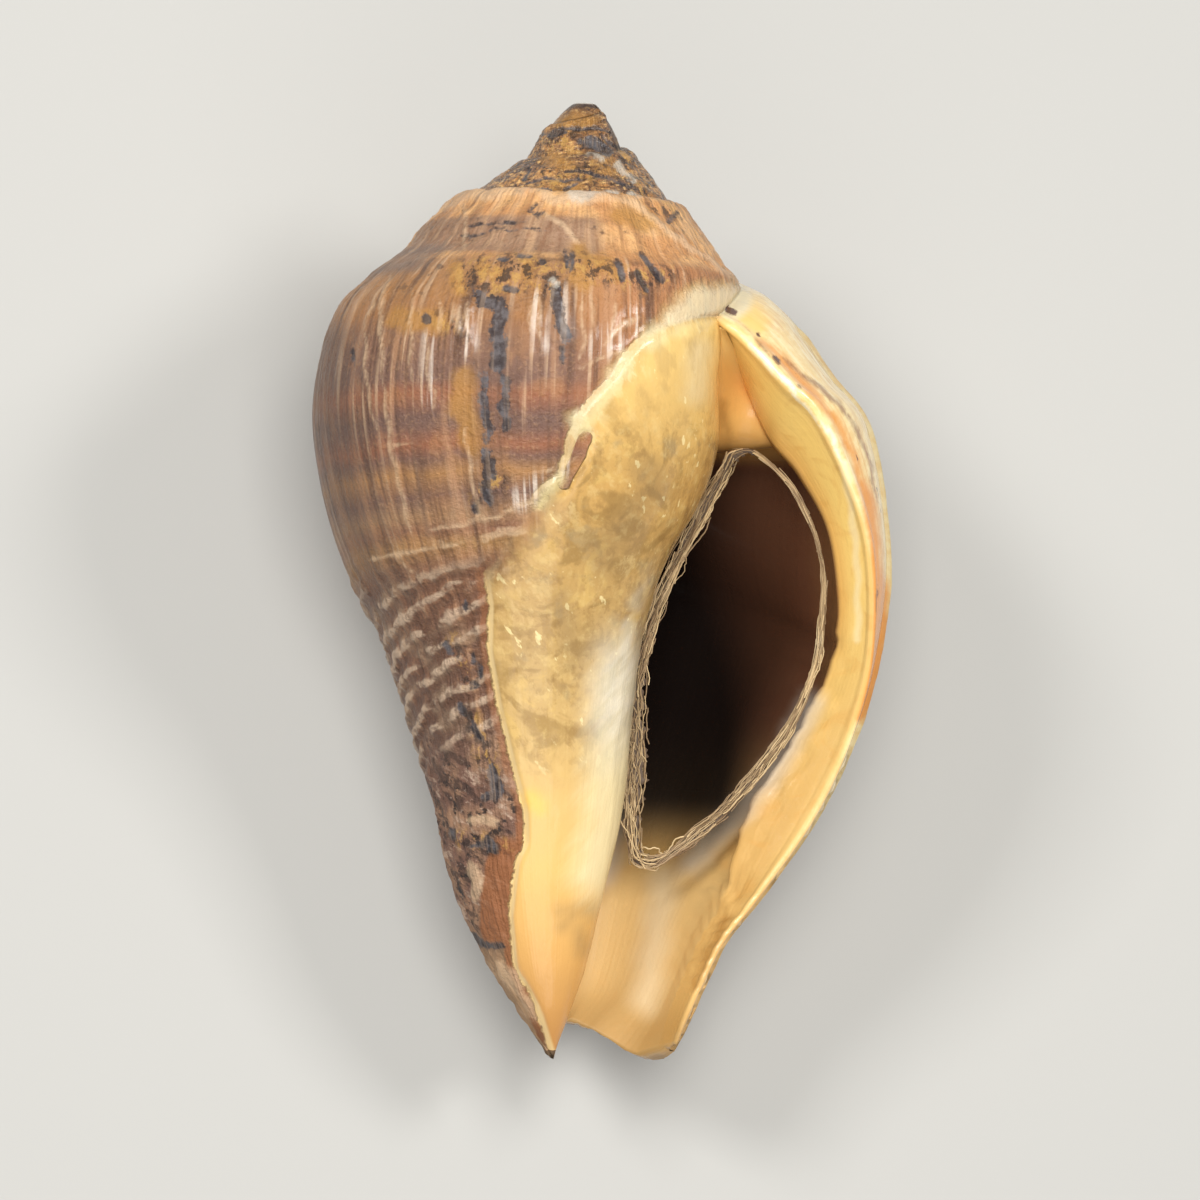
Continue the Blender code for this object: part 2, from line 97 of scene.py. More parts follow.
LIP_EDGE = [             # the glossy edge of the lip, from its upper corner down
    (11.2, -17.9, 8.2), (12.6, -18.8, 9.2), (13.6, -19.6, 9.6), (15.0, -20.9, 9.9),
    (17.3, -23.2, 9.9), (20.2, -26.0, 9.2), (24.4, -35.0, 6.8), (25.3, -44.6, 4.3),
    (23.9, -52.0, 3.0), (20.9, -59.2, 2.4), (16.3, -66.2, 2.2), (13.8, -69.6, 2.2),
    (12.2, -73.0, 2.3), (10.9, -76.2, 2.2), (10.2, -78.3, 1.6),
]
THROAT = [               # where the lip's inner face turns into the hollow
    (13.6, -22.0, -0.4), (14.0, -23.0, 0.3), (14.6, -24.4, 0.9), (15.3, -26.0, 1.4),
    (16.6, -28.3, 2.0), (18.9, -30.9, 2.5), (21.6, -36.0, 2.8), (22.4, -44.6, 1.0),
    (19.7, -51.6, -0.6), (15.6, -58.8, -1.2), (13.8, -65.9, -0.6), (11.9, -69.6, -0.3),
    (10.5, -73.0, -0.2), (9.4, -76.2, -0.1), (8.7, -78.8, 0.2),
]
LIP_BEND_HEIGHT = 0.4
LIP_BEND_DEPTH = 0.62
GLAZE_EDGE = [           # across and up, from the upper corner of the mouth to the tip
    (13.2, -17.7), (10.7, -17.9), (8.4, -18.4), (6.5, -19.1), (5.3, -19.9), (3.6, -21.6),
    (2.7, -23.6), (1.2, -25.0), (-0.1, -26.9), (-1.3, -31.6), (-2.6, -32.4), (-4.3, -35.1),
    (-7.0, -39.7), (-6.5, -42.3), (-6.5, -46.0), (-5.6, -50.5), (-4.1, -56.1), (-3.2, -59.0),
    (-3.0, -61.9), (-3.7, -63.4), (-4.1, -68.0), (-3.6, -72.3), (-2.5, -74.0), (-1.5, -76.0),
    (-0.4, -79.8),
]
GLAZE_THICKNESS = 0.45
GLAZE_BEVEL = 0.9
MELTED_BEVEL = 3.0          # where the glaze thins out without an edge
MELTED_HEIGHTS = (-41.0, -38.5, -34.5, -32.5)
GLAZE_STARTS = (17.0, 19.5)
GLAZE_FULL_RADIUS = 2.0
LEAST_RADIUS = 0.02
WALL = 2.0
WALL_THINNER = 0.8
THINNER_FEATURES = (9.0, 13.5)
SLOPE_STEP = 0.25
CANAL_INWARD = (-1.0, 0.35)
CALLUS = 0.4
CALLUS_FADE = 3.0
DRIFT_FADE = 1.5
CORNER_FILL = 1.3
CORNER_FILL_DEPTH = 0.15
FIRST_DEPTH = 0.06
SHOULDER_DEPTH = 1.72
CANAL_DEPTH = 0.42
DEPTH_FADE = (0.32, 0.8)
CORNER_DEPTH = 0.12      # at the upper corner of the mouth the hollow is filled in
CORNER_FADE = (0.27, 0.34)
SKIN_FADE = (0.34, 0.5)
SKIN_STEPS = 80
WEB_LEFT = [             # the wall between the columella and the lip in that corner
    (11.3, -18.6, 8.0), (11.5, -20.2, 7.2), (11.5, -22.4, 6.0), (11.6, -24.6, 4.3),
    (11.6, -26.6, 2.5), (11.6, -28.4, 0.6), (11.2, -29.0, -1.6), (10.9, -28.4, -4.4),
]
WEB_RIGHT = [
    (12.2, -18.9, 8.0), (13.2, -20.6, 5.2), (14.3, -22.6, 0.6), (15.1, -24.4, 0.7),
    (16.0, -26.2, 1.2), (17.1, -28.0, 1.0), (17.4, -28.2, -1.2), (17.4, -27.4, -4.0),
]
WEB_SAG = 0.9
WEB_THICKNESS = 0.6
WEB_ROWS, WEB_COLUMNS = 60, 24
WEB_GROWTH = (-0.1, 3.0, 2.0)
TOP_FEATURE = 2.0
ROOF_SHARE = 0.1
ROUNDED_END = 0.28
COLUMELLA_NARROWS = 0.12
CONTOUR_ROWS = 0.35     # share of the rows below the suture
CONTOUR_ANGLE = 0.35
LIP_ANGLE = 0.2
LAID = Matrix.Rotation(math.radians(11.0), 4, "X") @ Matrix.Rotation(math.radians(-9.0), 4, "Y")
BACK_POINT = (-1.3, -37.7, -22.7)
FLAT_SNAP = 0.00001

# The mesh is finest on the side with the mouth. Shares of a turn that starts at the mouth.
RAMP_ROWS = 36
BODY_ROWS = 132
FRONT_COLUMNS, FRONT_SHARE = 168, 0.4
BACK_COLUMNS, BACK_SHARE = 78, 0.9
LIP_COLUMNS = 30
FACE_COLUMNS = 14
HOLLOW_COLUMNS = 26
APEX_RINGS = 14
APEX_DISC = 0.8
APEX_ROUNDNESS = 1.35
MERGE = 0.002
UNGLAZED = (0.0, -9.0)           # sides: not on the columella's side, far outside the glaze
COLUMELLA_SIDE = (1.0, 3.0)
ROWS = RAMP_ROWS + BODY_ROWS
TURN = FRONT_COLUMNS + BACK_COLUMNS + LIP_COLUMNS
LAST = 3 * TURN
MOUTH = 2 * TURN


def smooth(lines, at):
    """Points on Catmull-Rom curves: one curve for all positions, or one for each."""
    lines = np.asarray(lines, float)
    at = np.asarray(at, float)
    before = 2 * lines[..., :1, :] - lines[..., 1:2, :]
    after = 2 * lines[..., -1:, :] - lines[..., -2:-1, :]
    padded = np.concatenate([before, lines, after], axis=-2)
    start = np.clip(np.floor(at).astype(int), 0, lines.shape[-2] - 2)
    t = (at - start)[..., None]
    if padded.ndim == 2:
        a, b, c, d = (padded[start + i] for i in range(4))
    else:
        near = [(start + i)[..., None, None] for i in range(4)]
        a, b, c, d = (np.take_along_axis(padded, i, axis=-2)[..., 0, :] for i in near)
    return 0.5 * (
        2 * b + (c - a) * t + (2 * a - 5 * b + 4 * c - d) * t**2 + (3 * b - a - 3 * c + d) * t**3
    )


def eased(low, high, value):
    """0 below low and 1 above high, smooth between them."""
    t = np.clip((value - low) / (high - low), 0.0, 1.0)
    return t * t * (3 - 2 * t)


def place(angle, radius_height):
    """The points at this radius and height, turned round the axis by the angle."""
    radius, height = radius_height[..., 0], radius_height[..., 1]
    turn = np.asarray(angle) * math.pi
    return np.stack([radius * np.cos(turn), height, radius * np.sin(turn)], axis=-1)


def suture_at(angle):
    """(radius, height) of the seam."""
    return smooth(SUTURE, (angle - FIRST_ANGLE) / KEY_STEP)


def spire_section(angle, share):
    """Points on the spire, from a whorl's own suture (share 0) to the next one (share 1)."""
    upper, lower = suture_at(angle), suture_at(angle + 2.0)
    chord = lower - upper
    outward = np.stack([-chord[..., 1], chord[..., 0]], axis=-1)
    bulge = SPIRE_BULGE * np.sin(math.pi * share**SPIRE_LEAN)
    return upper + chord * share[..., None] + outward * bulge[..., None]


ramp = [tuple(spire_section(np.array(-2.0), np.array(share))) for share in RAMP_SHARES]
bodies = [
    ramp + SECTION_BACK_ONE_TURN, SECTION_FRONT, SECTION_LEFT, SECTION_BACK, SECTION_RIGHT
]
first_key = int((-2.0 - FIRST_ANGLE) / KEY_STEP)
KEYS = np.array([[SUTURE[first_key + i]] + body for i, body in enumerate(bodies)])


def section_at(angle, feature):
    """(radius, height) on the outside of the last whorl."""
    angle, feature = np.broadcast_arrays(np.asarray(angle, float), np.asarray(feature, float))
    around = smooth(KEYS.reshape(len(KEYS), -1), (angle + 2.0) / KEY_STEP)
    around = around.reshape(angle.shape + (FEATURES + 1, 2))
    point = smooth(around, feature)
    dent = DENT * np.exp(
        -(((angle - DENT_ANGLE) / DENT_HALF_ANGLE) ** 2)
        - ((point[..., 1] - DENT_HEIGHT) / DENT_HALF_HEIGHT) ** 2
    )
    near_end = np.maximum(0.0, (feature - FEATURES) / CANAL_END_FEATURES + 1.0) ** 2
    end = np.array(CANAL_END)
    end_radius = np.interp(angle, end[:, 0], end[:, 1])
    end_height = np.interp(angle, end[:, 0], end[:, 2])
    radius = point[..., 0] - dent + (end_radius - around[..., -1, 0]) * near_end
    height = point[..., 1] + (end_height - around[..., -1, 1]) * near_end
    return np.stack([radius, height], axis=-1)


def feature_of_row(angle, row):
    """Rows are even above and below the line that the lip's suture follows."""
    rise = eased(0.0, LIP_ANGLE, angle + 2.0)
    fall = 1.0 - eased(LIP_ANGLE, LIP_ANGLE + LIP_COVER_FADE, angle + 2.0)
    split = SUTURE_FEATURE + LIP_COVER * rise * fall
    below = split + (FEATURES - split) * (row - RAMP_ROWS) / BODY_ROWS
    return np.where(row <= RAMP_ROWS, split * row / RAMP_ROWS, below)


def angle_of_column(column):
    turn_start = FIRST_ANGLE + LIP_ANGLE + 2.0 * (column // TURN)
    columns = [0, FRONT_COLUMNS, FRONT_COLUMNS + BACK_COLUMNS, TURN]
    return turn_start + 2.0 * np.interp(column % TURN, columns, [0.0, FRONT_SHARE, BACK_SHARE, 1.0])


def outside_points():
    """The spire's columns, and the last whorl's up to the right edge, with their growth."""
    column = np.arange(MOUTH)[:, None]
    row = np.arange(RAMP_ROWS + 1)[None, :]
    angle, share = np.broadcast_arrays(angle_of_column(column), row / RAMP_ROWS)
    feature = feature_of_row(angle, row)
    spire = place(angle, np.where(
        (angle > -2.0)[..., None],
        section_at(np.maximum(angle, -2.0), feature), spire_section(np.minimum(angle, -2.0), share),
    ))
    spire_growth = np.stack([angle, feature, 0 * angle], axis=-1)

    column = np.arange(MOUTH, LAST - LIP_COLUMNS + 1)[:, None]
    row = np.arange(ROWS + 1)[None, :]
    angle = np.broadcast_to(angle_of_column(column), (len(column), ROWS + 1))
    feature = feature_of_row(angle, row)
    down = eased(0.0, CONTOUR_ROWS, (row - RAMP_ROWS) / BODY_ROWS)
    near = 1.0 - eased(0.0, CONTOUR_ANGLE, angle - LIP_ANGLE + 2.0)
    angle = np.maximum(-2.0, angle - LIP_ANGLE * down * near)
    body = place(angle, section_at(angle, feature))
    radial = body * [1.0, 0.0, 1.0]
    size = np.maximum(np.linalg.norm(radial, axis=-1), LEAST_RADIUS)
    lift, glazed = glaze_lift(body)
    body = body + radial * (lift * np.minimum(1.0, size / GLAZE_FULL_RADIUS) / size)[..., None]
    body_growth = np.stack([angle, feature, 0 * angle], axis=-1)
    return spire, spire_growth, body, body_growth, glazed


def glaze_lift(point):
    """How far the glaze stands over the shell, and how far inside its edge each point is."""
    edge = np.array(GLAZE_EDGE)
    inside = point[..., 0] - np.interp(-point[..., 1], -edge[:, 1], edge[:, 0])
    inside = np.where(point[..., 2] > 0.0, inside, UNGLAZED[1])
    fade = eased(*GLAZE_STARTS, -point[..., 1])
    low, full, full_top, top = MELTED_HEIGHTS
    melted = eased(low, full, point[..., 1]) * (1.0 - eased(full_top, top, point[..., 1]))
    bevel = GLAZE_BEVEL + MELTED_BEVEL * melted
    return GLAZE_THICKNESS * fade * eased(0.0, 1.0, inside / bevel), inside


def lip_roll_points(share, row):
    """From the right edge of the shell, over the outside of the lip, to its glossy edge."""
    feature = feature_of_row(np.zeros(1), row)
    edge = smooth(LIP_EDGE, feature)
    start = place(0.0, section_at(0.0, feature))
    bend = np.stack([
        start[..., 0], start[..., 1] + (edge[..., 1] - start[..., 1]) * LIP_BEND_HEIGHT,
        edge[..., 2] * LIP_BEND_DEPTH,
    ], axis=-1)
    t = share[..., None]
    return (1 - t) ** 2 * start + 2 * t * (1 - t) * bend + t**2 * edge


def inner_wall(angle, feature):
    """The inside of the outer wall, a wall's thickness in from the outside."""
    here = section_at(angle, feature)
    above = section_at(angle, np.maximum(feature - SLOPE_STEP, 0.0))
    along = section_at(angle, np.minimum(feature + SLOPE_STEP, FEATURES)) - above
    inward = np.stack([along[..., 1], -along[..., 0]], axis=-1)
    inward = inward / np.linalg.norm(along, axis=-1)[..., None]
    straight_in = eased(FEATURES - CANAL_END_FEATURES, FEATURES, feature)[..., None]
    inward = inward + (np.array(CANAL_INWARD) - inward) * straight_in
    return here + inward * (WALL - WALL_THINNER * eased(*THINNER_FEATURES, feature))[..., None]


def columella_wall(angle, share):
    """The whorl before this one, as it forms the inner side of the hollow."""
    fill = CORNER_FILL * np.exp(-((angle / CORNER_FILL_DEPTH) ** 2))
    start = SUTURE_FEATURE + LIP_COVER + fill
    at_mouth = section_at(-2.0, start + (FEATURES - start) * share)
    drift = suture_at(angle) - suture_at(np.array(0.0))
    point = at_mouth + drift * ((1.0 - share) ** DRIFT_FADE)[..., None]
    narrow = 1.0 + COLUMELLA_NARROWS * angle * share
    radius = point[..., 0] * narrow + CALLUS * np.minimum(1.0, CALLUS_FADE * (1.0 - share))
    return np.stack([radius, point[..., 1]], axis=-1)


def hollow_points(progress, row):
    """The outer and the inner side of the hollow, each as points and growth."""
    progress, row = np.broadcast_arrays(progress, row)
    share = feature_of_row(0.0 * progress, row) / FEATURES
    feature = FEATURES * share + TOP_FEATURE * (1.0 - share) ** 3
    depth = SHOULDER_DEPTH + (CANAL_DEPTH - SHOULDER_DEPTH) * eased(*DEPTH_FADE, share)
    depth = CORNER_DEPTH + (depth - CORNER_DEPTH) * eased(*CORNER_FADE, share)
    angle = -FIRST_DEPTH - (depth - FIRST_DEPTH) * progress
    outer = inner_wall(angle, feature)
    inner = columella_wall(angle, share)
    corner = columella_wall(angle, 0.0 * share)
    roof = inner_wall(angle, TOP_FEATURE + 0.0 * share)
    corner[..., 0] = 0.5 * (corner[..., 0] + roof[..., 0])
    join = (1.0 - eased(0.0, ROOF_SHARE, share))[..., None]
    outer = outer + (corner - outer) * join
    inner = inner + (corner - inner) * join
    closing = np.maximum(0.0, 1.0 - (1.0 - progress) / ROUNDED_END)
    open_share = np.sqrt(1.0 - closing**2)[..., None]
    middle = 0.5 * (outer + inner)
    growth = np.stack([angle, feature, 2.0 + progress], axis=-1)
    return (
        place(angle, middle + (outer - middle) * open_share),
        place(angle, middle + (inner - middle) * open_share),
        growth,
    )


def stretched(outer, inner, share):
    """Both sides of the hollow, drawn as smooth as a skin near the upper corner of the mouth."""
    sheet = np.concatenate([outer, inner[-2::-1]])
    held = 1.0 - eased(*SKIN_FADE, share)[:, 1:-1, None]
    for _ in range(SKIN_STEPS):
        around = sheet[2:, 1:-1] + sheet[:-2, 1:-1] + sheet[1:-1, 2:] + sheet[1:-1, :-2]
        sheet[1:-1, 1:-1] += held * (around / 4.0 - sheet[1:-1, 1:-1])
    return sheet[: len(outer)], sheet[len(outer) - 1 :][::-1]


def web_points():
    """A closed sheet that fills the upper corner of the mouth, as rings round it."""
    at = np.linspace(0.0, 1.0, WEB_ROWS)
    along = at * (len(WEB_LEFT) - 1)
    left, right = smooth(WEB_LEFT, along)[:, None], smooth(WEB_RIGHT, along)[:, None]
    t = np.linspace(0.0, 1.0, WEB_COLUMNS)[None, :, None]
    across, down = np.sin(math.pi * t), np.sin(math.pi * at)[:, None, None]
    top = left + (right - left) * t
    top[..., 2:] -= WEB_SAG * across * down**0.5
    low = top - np.array([0.0, 0.0, WEB_THICKNESS]) * across**0.5 * down
    return np.concatenate([top, low[:, ::-1]], axis=1)


class Surface:
    """Corners with their growth and side, and the faces between them."""

    def __init__(self):
        self.points, self.growth, self.sides, self.faces = [], [], [], []
        self.count = 0

    def add(self, points, growth, side):
        """A side is 1 on the columella's side inside, then how far within the glaze's edge it is."""
        shape = points.shape[:-1]
        self.points.append(points.reshape(-1, 3))
        self.growth.append(np.broadcast_to(growth, points.shape).reshape(-1, 3))
        self.sides.append(np.broadcast_to(side, shape + (2,)).reshape(-1, 2))
        made = self.count + np.arange(int(np.prod(shape))).reshape(shape)
        self.count += made.size
        return made

    def at(self, corner):
        return np.concatenate(self.points)[corner]

    def loft(self, grid):
        quads = [grid[:-1, :-1], grid[1:, :-1], grid[1:, 1:], grid[:-1, 1:]]
        self.faces += np.stack(quads, axis=-1).reshape(-1, 4).tolist()

    def zip(self, first, second):
        """Triangles between two lines that run the same way, by the shorter diagonal."""
        p, q = self.at(first), self.at(second)
        i = j = 0
        while i < len(first) - 1 or j < len(second) - 1:
            if i == len(first) - 1:
                along_first = False
            elif j == len(second) - 1:
                along_first = True
            else:
                ahead = np.linalg.norm(p[i + 1] - q[j])
                along_first = ahead <= np.linalg.norm(p[i] - q[j + 1])
            if along_first:
                self.faces.append([int(first[i]), int(first[i + 1]), int(second[j])])
                i += 1
            else:
                self.faces.append([int(first[i]), int(second[j + 1]), int(second[j])])
                j += 1

    def mesh(self, name):
        data = bpy.data.meshes.new(name)
        faces = [face for face in self.faces if len(set(face)) == len(face)]
        data.from_pydata(np.concatenate(self.points).tolist(), [], faces)
        sides = np.concatenate(self.sides)
        store(data, "growth", np.concatenate(self.growth))
        store(data, "sides", np.concatenate([sides, 0 * sides[:, :1]], axis=1))
        return data


def grown_surface():
    made = Surface()
    spire, spire_growth, body, body_growth, glazed = outside_points()
    grid = np.full((LAST + 1, ROWS + 1), -1)
    grid[:MOUTH, : RAMP_ROWS + 1] = made.add(spire, spire_growth, UNGLAZED)
    sides = np.stack([0 * glazed, glazed], axis=-1)
    grid[MOUTH : LAST - LIP_COLUMNS + 1] = made.add(body, body_growth, sides)

    row = np.arange(ROWS + 1)[None, :]
    lip_share = np.arange(1, LIP_COLUMNS + 1)[:, None] / LIP_COLUMNS
    lip_share, lip_row = np.broadcast_arrays(lip_share, row)
    roll = lip_roll_points(lip_share, lip_row)
    feature = feature_of_row(np.zeros(1), lip_row)
    growth = np.stack([lip_share * LIP_ANGLE, feature, lip_share], axis=-1)
    grid[LAST - LIP_COLUMNS + 1 :] = made.add(roll, growth, UNGLAZED)
    grid[TURN:, 0] = grid[:-TURN, RAMP_ROWS]
    made.loft(grid[: MOUTH + 1, : RAMP_ROWS + 1])
    made.loft(grid[MOUTH:])

    rim = np.concatenate([grid[: TURN + 1, 0], grid[0, RAMP_ROWS - 1 : 0 : -1], grid[:1, 0]])
    inward = np.linspace(0.0, 1.0, APEX_RINGS + 1)[1:, None, None]
    disc = made.at(rim) * (1 - inward) + np.array([0.0, -APEX_DROP, 0.0]) * inward
    from_axis = np.hypot(disc[..., 0], disc[..., 2])
    rim_radius = np.hypot(made.at(rim)[:, 0], made.at(rim)[:, 2])
    outside_disc = np.clip((from_axis - APEX_DISC) / (rim_radius - APEX_DISC), 0.0, 1.0)
    disc[..., 1] = -APEX_DROP + (made.at(rim)[:, 1] + APEX_DROP) * outside_disc**APEX_ROUNDNESS
    rings = made.add(disc, (FIRST_ANGLE, 0.0, 0.0), UNGLAZED)
    made.loft(np.concatenate([rim[None], rings]))

    step = np.arange(1, FACE_COLUMNS + 1)[:, None] / FACE_COLUMNS
    face_step, face_row = np.broadcast_arrays(step, row)
    feature = feature_of_row(np.zeros(1), face_row)
    edge, throat = smooth(LIP_EDGE, feature), smooth(THROAT, feature)
    growth = np.stack([LIP_ANGLE * (1 - face_step), feature, 1.0 + face_step], axis=-1)
    face_points = edge + (throat - edge) * face_step[..., None]
    face = made.add(face_points, growth, UNGLAZED)

    progress = np.arange(HOLLOW_COLUMNS + 1)[:, None] / HOLLOW_COLUMNS
    outer, inner, growth = hollow_points(progress, row)
    outer, inner = stretched(outer, inner, feature_of_row(np.zeros((1, 1)), row) / FEATURES)
    going_in = np.concatenate([grid[LAST:], face, made.add(outer, growth, UNGLAZED)])
    made.loft(going_in)

    left_edge = made.at(grid[MOUTH, RAMP_ROWS:])
    across = feature_of_row(np.zeros(1), row[0]) / FEATURES * BODY_ROWS
    outer_end = np.stack(
        [np.interp(across, np.arange(BODY_ROWS + 1), left_edge[:, i]) for i in range(3)], axis=-1
    )
    inward = np.arange(1, FACE_COLUMNS + 1)[:, None, None] / (FACE_COLUMNS + 1)
    back = outer_end + (inner[0] - outer_end) * inward
    back[:, 0] = face_points[:, 0]
    back_growth = np.stack(
        np.broadcast_arrays(-2.0, feature_of_row(np.zeros(1), row), 2.0 * inward[..., 0]), axis=-1
    )
    coming_out = np.concatenate([
        made.add(back, back_growth, COLUMELLA_SIDE), made.add(inner, growth, COLUMELLA_SIDE)
    ])
    made.loft(coming_out)

    edge_line = grid[MOUTH, RAMP_ROWS:]
    made.zip(edge_line, np.concatenate([edge_line[:1], coming_out[0][1:]]))
    made.faces.append([int(edge_line[0]), int(coming_out[0][0]), int(coming_out[0][1])])
    inner_foot = np.concatenate([grid[MOUTH, ROWS:], coming_out[:, ROWS], going_in[::-1, ROWS][1:]])
    made.zip(grid[MOUTH:, ROWS], inner_foot)

    web = made.add(web_points(), WEB_GROWTH, (0.0, COLUMELLA_SIDE[1]))
    made.loft(np.concatenate([web, web[:, :1]], axis=1))
    return made


def merged(data, distance):
    """Doubles merged, loose corners gone and every face turned outwards."""
    mesh = bmesh.new()
    mesh.from_mesh(data)
    bmesh.ops.delete(mesh, geom=[v for v in mesh.verts if not v.link_faces], context="VERTS")
    bmesh.ops.remove_doubles(mesh, verts=mesh.verts, dist=distance)
    bmesh.ops.recalc_face_normals(mesh, faces=mesh.faces)
    if mesh.calc_volume(signed=True) < 0.0:
        bmesh.ops.reverse_faces(mesh, faces=mesh.faces)
    mesh.to_mesh(data)
    mesh.free()


def lay_down(data):
    """Turns a piece with the shell as it lies on its back, from millimetres into metres."""
    data.transform(Matrix.Scale(MM, 4) @ LAID @ Matrix.Translation(-Vector(BACK_POINT)))


def wear_flat(data):
    """Takes off what lies below the floor, which leaves the small flat spot."""
    mesh = bmesh.new()
    mesh.from_mesh(data)
    everything = list(mesh.verts) + list(mesh.edges) + list(mesh.faces)
    cut = bmesh.ops.bisect_plane(
        mesh, geom=everything, dist=FLAT_SNAP, plane_co=(0.0, 0.0, 0.0),
        plane_no=(0.0, 0.0, 1.0), clear_inner=True,
    )
    rim = [part for part in cut["geom_cut"] if isinstance(part, bmesh.types.BMEdge)]
    bmesh.ops.contextual_create(mesh, geom=rim)
    mesh.to_mesh(data)
    mesh.free()


def piece(name, data, material):
    data.materials.clear()
    data.materials.append(material)
    data.shade_smooth()
    made = bpy.data.objects.new(name, data)
    bpy.context.scene.collection.objects.link(made)
    return made


